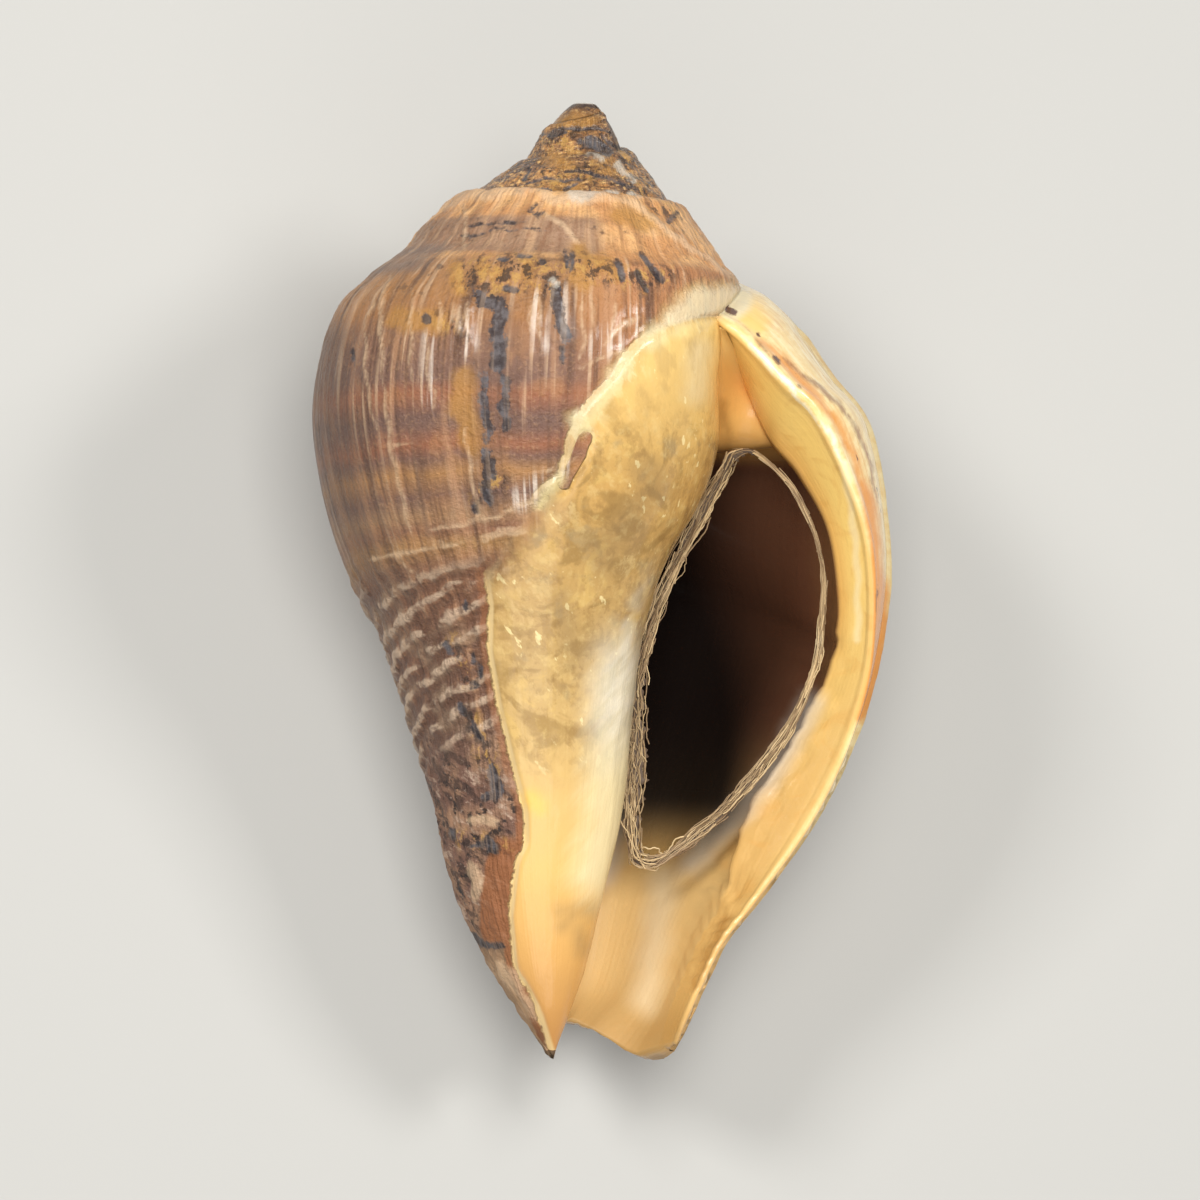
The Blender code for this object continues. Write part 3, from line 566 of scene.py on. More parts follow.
# Marks on the front, as the half width and the course of each stroke of the brush, across and down
# in twelfths of a millimetre as seen from straight above the mouth. Most are what time left, but
# the shade strokes are partly painted shade and partly brown stains, and some pale, white and gloss
# strokes carry painted highlights.
MARKS = {
    "dark": [
        (3.5, [(504, 289), (518, 289)]), (3, [(472, 503), (477, 514)]),
        (5, [(556, 287), (558, 313), (565, 335)]),
        (3, [(561, 346), (563, 364)]), (4, [(424, 316), (429, 323)]), (3, [(499, 257), (507, 258)]),
        (2.5, [(516, 256), (531, 254)]), (3, [(540, 258), (545, 265)]), (4, [(617, 262), (624, 279)]),
        (3.5, [(640, 255), (654, 270), (664, 282)]), (3, [(636, 272), (648, 290)]),
        (2.5, [(566, 250), (567, 268)]), (2.5, [(573, 252), (570, 272)]), (2, [(352, 350), (355, 365)]),
        (5, [(586, 140), (599, 146), (605, 152)]), (3, [(577, 141), (590, 141)]),
        (1.6, [(543, 134), (560, 130), (590, 128), (611, 131)]), (3, [(549, 134), (566, 133)]),
        (1.6, [(524, 182), (545, 178), (566, 179), (580, 181)]), (2.2, [(538, 189), (552, 191)]),
        (2.2, [(563, 188), (576, 184)]), (1.6, [(566, 170), (590, 172), (612, 180), (634, 187)]),
        (1.4, [(604, 136), (619, 151)]), (1.8, [(531, 168), (521, 180)]),
        (2.2, [(677, 213), (668, 222)]),
        (0.9, [(466, 228), (480, 222), (492, 224), (524, 221)]), (1.6, [(506, 221), (516, 221)]),
        (0.9, [(462, 237), (478, 233), (500, 229), (546, 229)]), (1.6, [(464, 237), (474, 235)]),
        (1.6, [(538, 205), (529, 211), (537, 216), (545, 211)]), (3.5, [(458, 703), (466, 716)]),
        (3.5, [(474, 722), (481, 740)]), (6, [(491, 768), (497, 792)]), (5, [(483, 795), (500, 796)]),
        (3, [(470, 845), (488, 846)]), (5, [(488, 838), (497, 850)]),
        (2, [(472, 652), (470, 660), (480, 668), (481, 678), (472, 684)]),
        (3.5, [(470, 686), (479, 686)]), (2.5, [(466, 600), (467, 610)]),
        (3, [(446, 640), (452, 655)]), (4, [(455, 925), (480, 942)]),
        (4, [(480, 942), (502, 946)]), (4, [(452, 830), (456, 838)]), (3, [(724, 309), (735, 312)]),
        (2.4, [(757, 332), (759, 334)]), (3.4, [(773, 357), (777, 363)]), (2.2, [(795, 386), (800, 390)]),
        (1.7, [(876, 586), (873, 612)]), (1.4, [(871, 620), (869, 636)]),
    ],
    "ochre": [
        (8, [(580, 250), (588, 262)]), (9, [(578, 278), (586, 281)]), (5, [(525, 262), (530, 282)]),
        (7, [(455, 268), (460, 288)]), (9, [(602, 262), (612, 272)]), (13, [(464, 380), (463, 412)]),
        (12, [(466, 412), (474, 446)]), (11, [(396, 318), (436, 322)]), (5, [(556, 187), (576, 188)]),
        (6, [(598, 163), (612, 170)]), (6, [(558, 120), (570, 126)]), (9, [(620, 215), (646, 222)]),
        (6, [(548, 158), (570, 166)]), (7, [(575, 120), (590, 122)]), (6, [(480, 268), (498, 272)]),
    ],
    "pale": [
        (3.4, [(440, 212), (466, 200), (480, 199), (530, 193), (554, 201), (583, 203), (617, 201)]),
        (3.2, [(617, 201), (644, 210), (664, 229), (695, 251), (726, 274), (742, 286)]),
        (3, [(545, 212), (562, 226), (580, 243)]), (1.8, [(465, 204), (465, 252)]),
        (2.6, [(415, 534), (450, 526), (478, 521), (500, 515), (530, 500), (548, 489)]),
        (2.6, [(362, 560), (400, 553), (440, 545), (478, 539)]), (4, [(478, 539), (500, 533), (530, 528)]),
        (1.8, [(535, 473), (560, 466), (578, 458)]), (2, [(391, 274), (380, 309), (383, 381)]),
        (2, [(383, 381), (391, 448), (412, 536)]), (1.6, [(366, 318), (366, 380), (376, 430)]),
        (1.6, [(412, 290), (411, 380)]), (2, [(464, 425), (474, 490), (480, 520)]),
        (1.6, [(380, 444), (415, 443)]), (1.8, [(580, 300), (584, 340), (580, 360)]),
        (1.5, [(590, 300), (596, 330)]), (3, [(603, 347), (622, 326), (641, 316)]),
        (2, [(578, 369), (600, 358), (625, 350), (648, 340)]), (3, [(458, 305), (460, 336)]),
        (2.5, [(467, 303), (468, 335)]), (2, [(452, 300), (452, 325)]), (1.8, [(427, 330), (429, 392)]),
        (1.6, [(433, 385), (435, 410)]), (1.6, [(440, 300), (440, 332)]), (1.8, [(538, 290), (541, 352)]),
        (1.5, [(530, 300), (531, 332)]), (2, [(615, 300), (612, 330)]), (8, [(500, 962), (522, 990)]),
        (6, [(522, 990), (540, 1022)]), (6, [(470, 862), (480, 880), (475, 900)]),
        (5, [(466, 818), (500, 822)]), (2, [(376, 300), (366, 318)]), (1.6, [(400, 560), (424, 580)]),
        (2, [(748, 343), (766, 361), (788, 385), (812, 412), (832, 438), (844, 466)]),
        (3.6, [(682, 344), (690, 336), (703, 328)]), (3.4, [(651, 346), (657, 339)]),
    ],
    "crust": [
        (3.6, [(572, 200), (590, 198), (615, 194)]), (3.2, [(630, 196), (639, 200)]),
        (2.6, [(618, 165), (633, 181)]), (1.8, [(588, 156), (602, 158)]),
        (3, [(553, 280), (558, 283)]),
    ],
    "purple": [
        (2.8, [(782, 356), (797, 371), (818, 387), (840, 405), (857, 430), (870, 462), (877, 505)]),
        (1.6, [(738, 320), (756, 343), (768, 360)]), (3.2, [(700, 235), (716, 258)]),
    ],
    "orange": [
        (3, [(758, 340), (782, 360), (806, 388), (834, 418), (852, 452), (862, 490)]),
        (7, [(862, 480), (871, 520), (874, 560)]),
        (13, [(874, 560), (876, 620), (871, 668), (860, 715)]),
    ],
    "white": [
        (2, [(690, 488), (664, 532), (646, 580), (636, 606)]), (4, [(628, 628), (617, 700), (616, 770)]),
        (5, [(616, 770), (612, 830), (602, 872)]), (2.6, [(843, 463), (851, 505), (857, 560), (858, 640)]),
        (4, [(812, 704), (780, 762), (742, 806), (690, 862)]),
    ],
    "window": [(6.5, [(587, 438), (576, 460), (565, 483)])],
    "worn": [
        (20, [(472, 276), (520, 272), (548, 278)]), (13, [(572, 262), (612, 276), (664, 278)]),
        (11, [(556, 140), (604, 150)]), (9, [(545, 186), (600, 166)]), (8, [(620, 150), (640, 190)]),
        (9, [(462, 838), (500, 846)]), (9, [(470, 715), (494, 770)]), (9, [(500, 480), (478, 500)]),
        (9, [(440, 318), (462, 330)]), (8, [(650, 210), (672, 214)]), (7, [(452, 640), (470, 680)]),
    ],
    "skin": [
        (8, [(482, 298), (500, 306), (499, 330)]), (8, [(499, 334), (499, 366)]),
        (5, [(504, 380), (505, 428)]), (5, [(481, 372), (484, 400), (488, 436)]),
        (6, [(487, 452), (488, 500)]), (6, [(556, 290), (558, 313), (566, 336)]),
        (7, [(588, 142), (600, 147), (606, 152)]), (6, [(492, 768), (497, 794)]),
    ],
    "gloss": [
        (14, [(602, 345), (640, 318)]), (12, [(463, 300), (463, 345)]), (7, [(538, 300), (541, 345)]),
        (7, [(430, 340), (432, 400)]), (8, [(560, 290), (565, 330)]), (10, [(560, 470), (520, 500)]),
    ],
    "milk": [
        (15, [(676, 322), (694, 304), (716, 300), (735, 302)]), (9, [(648, 341), (664, 330)]),
        (6, [(560, 480), (548, 492), (540, 505)]), (5, [(574, 418), (580, 430), (600, 404)]),
        (6, [(600, 404), (614, 380), (625, 360)]),
    ],
    "amber": [(13, [(722, 296), (742, 306), (756, 322)]), (7, [(530, 800), (540, 806)])],
    # Painted shade on the body's left side, in the crease of the mouth's upper corner and by the
    # columella's edge; the strokes along the canal's edge are brown stains.
    "shade": [
        (10, [(345, 420), (352, 520), (385, 600)]), (8, [(432, 640), (445, 720), (458, 800)]),
        (7, [(560, 600), (574, 660)]), (10, [(600, 560), (640, 500)]), (3, [(723, 404), (727, 440)]),
        (4, [(560, 912), (592, 908)]), (3, [(563, 925), (575, 915)]), (3, [(578, 935), (584, 950)]),
        (12, [(645, 470), (660, 490)]), (14, [(330, 340), (326, 420), (340, 500)]),
        (4, [(726, 920), (712, 948), (698, 985)]), (3, [(690, 885), (694, 905)]),
    ],
    "bare": [(7, [(664, 880), (656, 930), (646, 1000)]), (8, [(702, 352), (698, 392)])],
}
MARK_UNIT = 0.0838
MARK_ZERO = (585.0, 103.0)
MARK_TURN = math.radians(1.925)
EYE = (2.64, -41.58, 500.0)
MARK_REACH = 4.0
MARK_BEND = 1.2          # how far the strokes waver, and the lengths of the wavering
BEND_DOWN = (6.3, 9.0)
BEND_ACROSS = (5.1, 13.0)
TAPERS = {"pale": 0.7, "dark": 0.35, "purple": 0.6, "orange": 0.5}
FRONT_BELOW = -2.5      # marks end behind the shell's middle, but for those inside the canal
DEEP_MARKS = ("white", "bare")


def seen_from_mouth(points):
    """Where points of the front lie across and down, as the eye above the mouth sees them."""
    nearer = (EYE[2] / (EYE[2] - points[:, 2]))[:, None]
    flat = np.array(EYE[:2]) + (points[:, :2] - EYE[:2]) * nearer
    c, s = math.cos(MARK_TURN), math.sin(MARK_TURN)
    across = (flat[:, 0] * c + flat[:, 1] * s) / MARK_UNIT + MARK_ZERO[0]
    down = (flat[:, 0] * s - flat[:, 1] * c) / MARK_UNIT + MARK_ZERO[1]
    bend = np.stack([
        np.sin(down / BEND_DOWN[0] + np.sin(across / BEND_DOWN[1])),
        np.sin(across / BEND_ACROSS[0] + down / BEND_ACROSS[1]),
    ])
    return np.stack([across, down], axis=-1) + MARK_BEND * bend.T


def mark_distance(seen, front, strokes, taper):
    """How far each corner lies from the nearest stroke's edge, in millimetres, within it below 0."""
    nearest = np.full(len(seen), np.inf)
    for half_width, course in strokes:
        pieces = len(course) - 1
        for k, (start, end) in enumerate(zip(np.array(course, float), np.array(course[1:], float))):
            along = end - start
            t = np.clip((seen - start) @ along / (along @ along), 0.0, 1.0)
            apart = np.linalg.norm(seen - start - t[:, None] * along, axis=1)
            from_middle = np.abs((k + t) / pieces * 2.0 - 1.0)
            width = half_width * (1.0 - taper * from_middle**4)
            nearest = np.minimum(nearest, apart - width)
    return np.where(front, np.minimum(nearest * MARK_UNIT, MARK_REACH), MARK_REACH)


def store(data, name, values):
    """A number or a vector for each corner, kept with the mesh."""
    kind, field = ("FLOAT", "value") if values.ndim == 1 else ("FLOAT_VECTOR", "vector")
    made = data.attributes.new(name, kind, "POINT")
    made.data.foreach_set(field, np.ascontiguousarray(values, np.float32).ravel())


def corners_of(data):
    points = np.empty(len(data.vertices) * 3, np.float32)
    data.vertices.foreach_get("co", points)
    return points.reshape(-1, 3).astype(float)


class Field:
    """A socket whose value changes over a surface. Arithmetic on it adds Math nodes."""

    def __init__(self, tree, socket=None):
        self.tree = tree
        self.socket = socket

    def node(self, kind, settings, values, output=0):
        """Adds a node: its settings first, then its sockets' values or links."""
        made = self.tree.nodes.new(kind)
        for name, value in settings.items():
            if name == "stops":
                elements = made.color_ramp.elements
                for position, colour in value[1:-1]:
                    elements.new(position).color = (*colour, 1.0)
                for element, (position, colour) in ((elements[0], value[0]), (elements[-1], value[-1])):
                    element.position, element.color = position, (*colour, 1.0)
            else:
                setattr(made, name, value)
        for name, value in values.items():
            if isinstance(value, Field):
                self.tree.links.new(value.socket, made.inputs[name])
            elif made.inputs[name].type == "RGBA":
                made.inputs[name].default_value = (*value, 1.0)
            else:
                made.inputs[name].default_value = value
        return Field(self.tree, made.outputs[output])

    def maths(self, operation, *others):
        return self.node("ShaderNodeMath", {"operation": operation}, dict(enumerate((self, *others))))

    def __add__(self, other):
        return self.maths("ADD", other)

    __radd__ = __add__

    def __mul__(self, other):
        return self.maths("MULTIPLY", other)

    __rmul__ = __mul__

    def __sub__(self, other):
        return self.maths("SUBTRACT", other)

    def __rsub__(self, other):
        return self.node("ShaderNodeMath", {"operation": "SUBTRACT"}, {0: other, 1: self})

    def sine(self):
        return self.maths("SINE")

    def either(self, other):
        """The greater of the two."""
        return self.maths("MAXIMUM", other)

    def rising(self, low, high):
        """0 below low and 1 above high, smooth between them. With low above high it falls."""
        settings = {"interpolation_type": "SMOOTHSTEP"}
        ends = (low, high, 0.0, 1.0) if low < high else (high, low, 1.0, 0.0)
        return self.node("ShaderNodeMapRange", settings, dict(enumerate((self, *ends))))

    def between(self, low, high, soft):
        return self.rising(low - soft, low) * self.rising(high + soft, high)

    def parts(self):
        split = self.node("ShaderNodeSeparateXYZ", {}, {0: self}).socket.node
        return [Field(self.tree, socket) for socket in split.outputs]

    def with_axes(self, other, third=0.0):
        return self.node("ShaderNodeCombineXYZ", {}, {0: self, 1: other, 2: third})

    def noise(self, scale, detail=3.0, roughness=0.55):
        values = {"Vector": self, "Scale": scale, "Detail": detail, "Roughness": roughness}
        return self.node("ShaderNodeTexNoise", {}, values)

    def mixed(self, below, above):
        """One colour where this is 0, and the other where it is 1."""
        ends = [end if isinstance(end, Field) else tone(*end) for end in (below, above)]
        return self.node("ShaderNodeMix", {"data_type": "RGBA"}, {0: self, 6: ends[0], 7: ends[1]}, 2)

    def ramp(self, stops, length):
        """The colour here on a ramp of that length, with stops of (place, colour)."""
        placed = [(at / length, tone(*colour)) for at, colour in stops]
        return self.node("ShaderNodeValToRGB", {"stops": placed}, {0: self * (1 / length)})


def tone(red, green, blue):
    """A colour as a screen shows it, from 0 to 255, as the light that it stands for."""
    shares = [value / 255 for value in (red, green, blue)]
    return tuple(c / 12.92 if c < 0.04045 else ((c + 0.055) / 1.055) ** 2.4 for c in shares)


def modifier_tree(name, sizes):
    """A Geometry Nodes tree with named number inputs, its geometry and its inputs as fields."""
    tree = bpy.data.node_groups.new(name, "GeometryNodeTree")
    tree.interface.new_socket("Geometry", in_out="INPUT", socket_type="NodeSocketGeometry")
    for label in sizes:
        tree.interface.new_socket(label, in_out="INPUT", socket_type="NodeSocketFloat")
    tree.interface.new_socket("Geometry", in_out="OUTPUT", socket_type="NodeSocketGeometry")
    ends = tree.nodes.new("NodeGroupInput")
    fields = [Field(tree, socket) for socket in ends.outputs[: len(sizes) + 1]]
    return tree, fields[0], fields[1:]


def finished(tree, geometry, material):
    """Ends a tree: its instances are made real, and the material is put on."""
    real = geometry.node("GeometryNodeRealizeInstances", {}, {0: geometry})
    dressed = real.node("GeometryNodeSetMaterial", {}, {"Geometry": real, "Material": material})
    tree.links.new(dressed.socket, tree.nodes.new("NodeGroupOutput").inputs[0])


def applied(name, data, tree, sizes):
    """The mesh that a tree makes of data, with these sizes at its named inputs."""
    raw = bpy.data.objects.new(name, data)
    bpy.context.scene.collection.objects.link(raw)
    modifier = raw.modifiers.new(name, "NODES")
    modifier.node_group = tree
    for item in tree.interface.items_tree:
        if item.in_out == "INPUT" and item.name in sizes:
            modifier[item.identifier] = sizes[item.name]
    evaluated = raw.evaluated_get(bpy.context.evaluated_depsgraph_get())
    made = bpy.data.meshes.new_from_object(evaluated)
    raw.modifiers.remove(modifier)
    bpy.data.objects.remove(raw)
    made.name = name
    return made


def named(tree, name, kind="FLOAT"):
    """An attribute of the mesh, in a Geometry Nodes tree."""
    source = "GeometryNodeInputNamedAttribute"
    return Field(tree).node(source, {"data_type": kind}, {"Name": name})


RELIEF = {
    "Cord height": 0.34, "Cords to a feature": 3.6, "Growth line depth": 0.16, "Pit depth": 0.4,
    "Suture ledge": 0.5, "Wear": 0.24, "Tooth height": 0.14, "Fold height": 0.1,
    "Mark height": 0.14, "Seed": 3.0,
}
LAST_WHORL = (-2.05, -1.95)
CORD_SLANT = 1.3
CORD_SLANT_ENDS = -0.95


def cord_pattern(spot, angle, feature, count):
    """The slanting cords of the base: their waves' phase, and where they are whole or worn away."""
    slanted = feature - angle.maths("MINIMUM", CORD_SLANT_ENDS) * CORD_SLANT
    phase = (slanted * count + (spot.noise(0.35, 2.0) - 0.5) * 1.1) * (2 * math.pi)
    return phase, spot.noise(0.4, 3.0, 0.6).rising(0.38, 0.54)


def relief_tree(material):
    """Cords, growth lines, pits, wear and teeth, as steps along the shell's own normals."""
    tree, geometry, sizes = modifier_tree("shell relief", RELIEF)
    cord, cords, line, pit, ledge, wear, tooth, fold, mark, seed = sizes
    angle, feature, inside = named(tree, "growth", "FLOAT_VECTOR").parts()
    columella, glaze, _ = named(tree, "sides", "FLOAT_VECTOR").parts()
    dark, _, pale = named(tree, "marks_outside", "FLOAT_VECTOR").parts()
    crust, _, _ = named(tree, "marks_crust", "FLOAT_VECTOR").parts()
    _, window, _ = named(tree, "marks_glaze", "FLOAT_VECTOR").parts()
    milk, _, _ = named(tree, "marks_soft", "FLOAT_VECTOR").parts()
    position = Field(tree).node("GeometryNodeInputPosition", {}, {})
    height = position.parts()[1]
    outside = inside.rising(0.5, 0.05) * columella.rising(0.1, 0.0)
    unglazed = outside * glaze.rising(0.2, -0.4)
    last_whorl = angle.rising(*LAST_WHORL)

    wobble = position.noise(0.35, 2.0) - 0.5
    base = feature.between(8.45, 10.5, 0.5) * unglazed
    phase, broken = cord_pattern(position, angle, feature, cords)
    ribs = phase.sine().rising(-0.6, 0.9) * base * cord * (0.1 + 0.9 * broken)
    grown = (angle * 50.0).with_axes(feature * 0.28, seed).noise(1.0, 3.0, 0.6) - 0.5
    body = unglazed * feature.rising(1.0, 3.0) * feature.rising(12.5, 10.0) * last_whorl
    lines = grown * line * body * 1.6
    rough = position.noise(1.1, 5.0, 0.65) - 0.5
    cells = position.node("ShaderNodeTexVoronoi", {}, {"Vector": position, "Scale": 0.95})
    canal = unglazed * feature.rising(10.3, 11.3)
    pits = (rough * 1.5 + cells.rising(0.1, 0.75) * 0.5) * pit * canal
    edge = feature.rising(0.0, 0.16) * feature.rising(1.3, 0.35) * outside
    ledges = edge * ledge * (0.35 + 0.65 * last_whorl) * angle.rising(0.0, -0.3)
    top = height.rising(-16.0, -10.0) * outside
    broad = position.noise(0.55, 4.0, 0.6) - 0.5
    worn = (rough * 0.9 + broad * 1.6) * wear * top * height.rising(-0.6, -3.0)
    knocks = broad * wear * feature.between(1.5, 5.0, 1.0) * body * 1.6
    on_lip = columella.rising(0.1, 0.0)
    ridge = inside.between(0.94, 1.06, 0.1) * on_lip * 0.22
    teeth = ((feature * 2.1 + wobble * 2.4) * (2 * math.pi)).sine() * tooth * on_lip
    teeth = teeth * inside.between(1.62, 2.02, 0.22) * feature.between(7.0, 10.2, 0.6)
    folds = ((feature * 2.6 + wobble * 1.6) * (2 * math.pi)).sine() * fold * on_lip
    folds = folds * inside.between(1.25, 1.9, 0.3) * feature.between(10.2, 12.0, 0.6)
    marked = (pale.rising(0.12, -0.16) * outside + crust.rising(0.15, -0.2) * outside * 0.8) * mark
    cracked = dark.rising(0.08, -0.12) * mark * outside * 0.9
    gone = window.rising(0.14, -0.05) * 0.34 * outside
    ripple = position.noise(0.28, 3.0) - 0.5
    callus = ripple * 0.35 * glaze.rising(0.2, 1.2) * outside
    poured = milk.rising(0.3, -0.3) * glaze.rising(0.3, -0.3) * outside * 0.3
    raised = ridge + ribs + lines + pits + ledges + worn + knocks + teeth + folds
    step = raised + marked + callus + poured - cracked - gone

    normal = Field(tree).node("GeometryNodeInputNormal", {}, {})
    offset = normal.node("ShaderNodeVectorMath", {"operation": "SCALE"}, {0: normal, "Scale": step})
    moved = geometry.node("GeometryNodeSetPosition", {}, {"Geometry": geometry, "Offset": offset})
    finished(tree, moved, material)
    return tree


def attribute(paint, name):
    """An attribute of the mesh, in a material."""
    return paint.node("ShaderNodeAttribute", {"attribute_name": name}, {}, "Vector")


def painted(colour, *layers):
    """Colours laid over one another, each as how far it covers, from 0 to 1, and its colour."""
    for share, over in layers:
        colour = share.mixed(colour, over)
    return colour


def new_paint(name):
    """A material, its shader, and a field to start its maths from."""
    material = bpy.data.materials.new(name)
    material.use_nodes = True
    return material, material.node_tree.nodes["Principled BSDF"], Field(material.node_tree)


def feed(surface, values):
    """Fields are linked to the shader's sockets, and constants are set on them."""
    for name, value in values.items():
        if isinstance(value, Field):
            value.tree.links.new(value.socket, surface.inputs[name])
        else:
            surface.inputs[name].default_value = value


SHELL_LENGTH = 80.0
BANDS = [
    (3.8, (165, 122, 84)), (4.6, (166, 119, 74)), (5.1, (160, 112, 70)), (5.4, (136, 99, 76)),
    (5.95, (120, 90, 78)), (6.15, (152, 98, 70)), (6.45, (114, 86, 76)), (6.6, (120, 90, 78)),
    (6.85, (152, 98, 70)), (7.02, (120, 90, 78)), (7.22, (172, 126, 80)), (7.5, (120, 90, 78)),
    (7.75, (162, 126, 92)), (7.95, (140, 98, 74)), (8.12, (166, 126, 80)), (8.4, (134, 94, 70)),
    (9.6, (124, 88, 68)), (10.6, (112, 84, 70)),
]
GLAZE_TONES = [
    (16.0, (236, 204, 130)), (24.0, (226, 188, 116)), (32.0, (202, 160, 94)),
    (46.0, (196, 162, 104)), (53.0, (206, 172, 112)), (59.0, (228, 190, 122)),
    (64.0, (234, 190, 116)), (71.0, (226, 174, 102)), (79.0, (206, 148, 84)),
]
FINE_LINES, TORN_LINES, BROAD_LINES = 85.0, 75.0, 36.0
GRAIN_DEPTH = 0.0003
GLAZE_ROUGHNESS = 0.22
COAT = 0.45
WET_COAT = 0.3
SPIRE_COAT = 0.25


def shell_finish():
    """Brown and streaked outside, rough on the canal, glazed from khaki to cream round the mouth."""
    material, surface, paint = new_paint("shell_finish")
    angle, feature, inside = attribute(paint, "growth").parts()
    columella, glaze, _ = attribute(paint, "sides").parts()
    dark, ochre, pale = attribute(paint, "marks_outside").parts()
    crust, purple, orange = attribute(paint, "marks_crust").parts()
    white, window, bare = attribute(paint, "marks_glaze").parts()
    milk, amber, shade = attribute(paint, "marks_soft").parts()
    worn, skin, gloss = attribute(paint, "marks_worn").parts()
    spot = attribute(paint, "shell_place")
    across, height, depth = spot.parts()

    fine = spot.noise(2.6, 6.0, 0.64)
    coarse = spot.noise(0.32, 4.0, 0.55)
    patchy = spot.noise(0.9, 5.0, 0.62)
    ragged = (patchy - 0.5) * 1.6 + (fine - 0.5) * 1.4
    streak = (angle * FINE_LINES).with_axes(feature * 0.3).noise(1.0, 1.5, 0.6)
    clusters = (angle * 14.0).with_axes(feature * 0.9, 12.0).noise(1.0, 2.0).rising(0.4, 0.62)
    broad_streak = (angle * BROAD_LINES).with_axes(feature * 0.3, 4.0).noise(1.0, 2.0, 0.55)
    torn = ((angle * TORN_LINES).with_axes(feature * 5.0, 2.0).noise(1.0, 5.0, 0.7) - 0.5) * 1.9
    wander = (spot.noise(0.16, 2.0) - 0.5) * 0.5

    # The outside: spiral bands, streaked along the growth lines, and pale cords on the base.
    plain = angle.between(-1.98, -1.6, 0.14)
    back = angle.rising(-1.0, -0.8)
    lit = (feature.between(3.8, 6.2, 0.8) * 0.35 + 0.25) * (clusters * 0.8 + 0.2)
    waves, broken = cord_pattern(spot, angle, feature, RELIEF["Cords to a feature"])
    cords = waves.sine()
    on_base = feature.between(8.6, 10.4, 0.35)
    colour = painted(
        (feature + wander * 0.5).ramp(BANDS, FEATURES),
        (plain * 0.85, (180, 124, 82)),
        (back * coarse.rising(0.42, 0.6) * 0.5, (150, 112, 84)),
        (coarse.rising(0.5, 0.64) * 0.35, (178, 128, 84)),
        (broad_streak.rising(0.5, 0.3) * 0.75, (88, 62, 50)),
        (broad_streak.rising(0.53, 0.68) * 0.45, (188, 142, 106)),
        (streak.rising(0.54, 0.66) * lit, (216, 182, 148)),
        (streak.rising(0.45, 0.32) * (clusters * 0.3 + 0.25), (84, 58, 44)),
        (fine.rising(0.5, 0.68) * 0.3, (186, 146, 108)),
        # Painted shade: the body darker towards its left side.
        (shade.rising(2.2, -1.0) * 0.5, (76, 57, 48)),
        (on_base * coarse.rising(0.44, 0.6) * 0.5, (148, 126, 104)),
        (on_base * cords.rising(0.1, 0.9) * broken * 0.7, (206, 180, 154)),
        (on_base * cords.rising(0.0, -0.9) * 0.5, (98, 66, 50)),
        (on_base * patchy.rising(0.48, 0.38) * 0.6, (92, 64, 50)),
    )

    # The ramp below the last suture, its newest edge pale and smooth.
    last_whorl = angle.rising(*LAST_WHORL)
    ramp_part = feature.rising(3.9, 3.3) * last_whorl
    smooth_band = feature.between(1.9, 3.3, 0.35) * ramp_part * angle.between(-1.52, -1.05, 0.05)
    slate_band = feature.between(3.2, 3.9, 0.4) * angle.between(-1.2, -1.02, 0.06)
    # Painted highlights: pale glints on the streaks where the gloss marks lie.
    painted_glint = gloss.rising(0.6, -0.6) * streak.rising(0.5, 0.6)
    colour = painted(
        colour,
        (ramp_part, coarse.rising(0.4, 0.62).mixed((228, 178, 122), (206, 150, 98))),
        (smooth_band * 0.85, (150, 120, 100)),
        (slate_band * 0.6, (118, 104, 98)),
        (ramp_part * broad_streak.rising(0.5, 0.66) * 0.4, (222, 180, 138)),
        (ramp_part * broad_streak.rising(0.48, 0.32) * 0.45, (128, 86, 58)),
        (ramp_part * streak.rising(0.5, 0.3) * 0.4, (132, 92, 66)),
        (ramp_part * patchy.rising(0.52, 0.68) * 0.4, (140, 98, 72)),
        (painted_glint * 0.6, (240, 226, 212)),
    )

    # The spire, worn to ochre and cracked, with a dark tip, and the shade under each seam.
    spire = 1.0 - last_whorl
    layered = (feature * 2.2).with_axes(angle * 2.6, 7.0).noise(1.0, 5.0, 0.7)
    cracks = (layered - 0.5).maths("ABSOLUTE").rising(0.022, 0.004)
    spire_tone = painted(
        patchy.rising(0.4, 0.58).mixed((112, 80, 58), (180, 128, 76)),
        (coarse.rising(0.5, 0.6) * 0.6, (128, 100, 84)),
        (layered.rising(0.5, 0.62) * 0.6, (196, 146, 92)),
        (fine.rising(0.54, 0.62) * 0.8, (232, 188, 124)),
        (fine.rising(0.47, 0.38) * 0.9, (46, 36, 32)),
        (layered.rising(0.44, 0.38) * 0.85, (44, 36, 32)),
        (cracks * coarse.rising(0.38, 0.48) * 0.9, (32, 26, 24)),
    )
    under = feature.rising(0.1, 0.0) + feature.between(3.75, 3.98, 0.12) * spire
    under = under * height.rising(-0.8, -1.6) * angle.rising(0.1, -0.1)
    colour = painted(
        colour,
        (spire, spire_tone),
        (height.rising(-0.75, -0.35) * 0.85, (58, 46, 44)),
        (height.rising(-0.2, -0.08), (206, 198, 188)),
        (under * 0.7, (70, 52, 42)),
    )

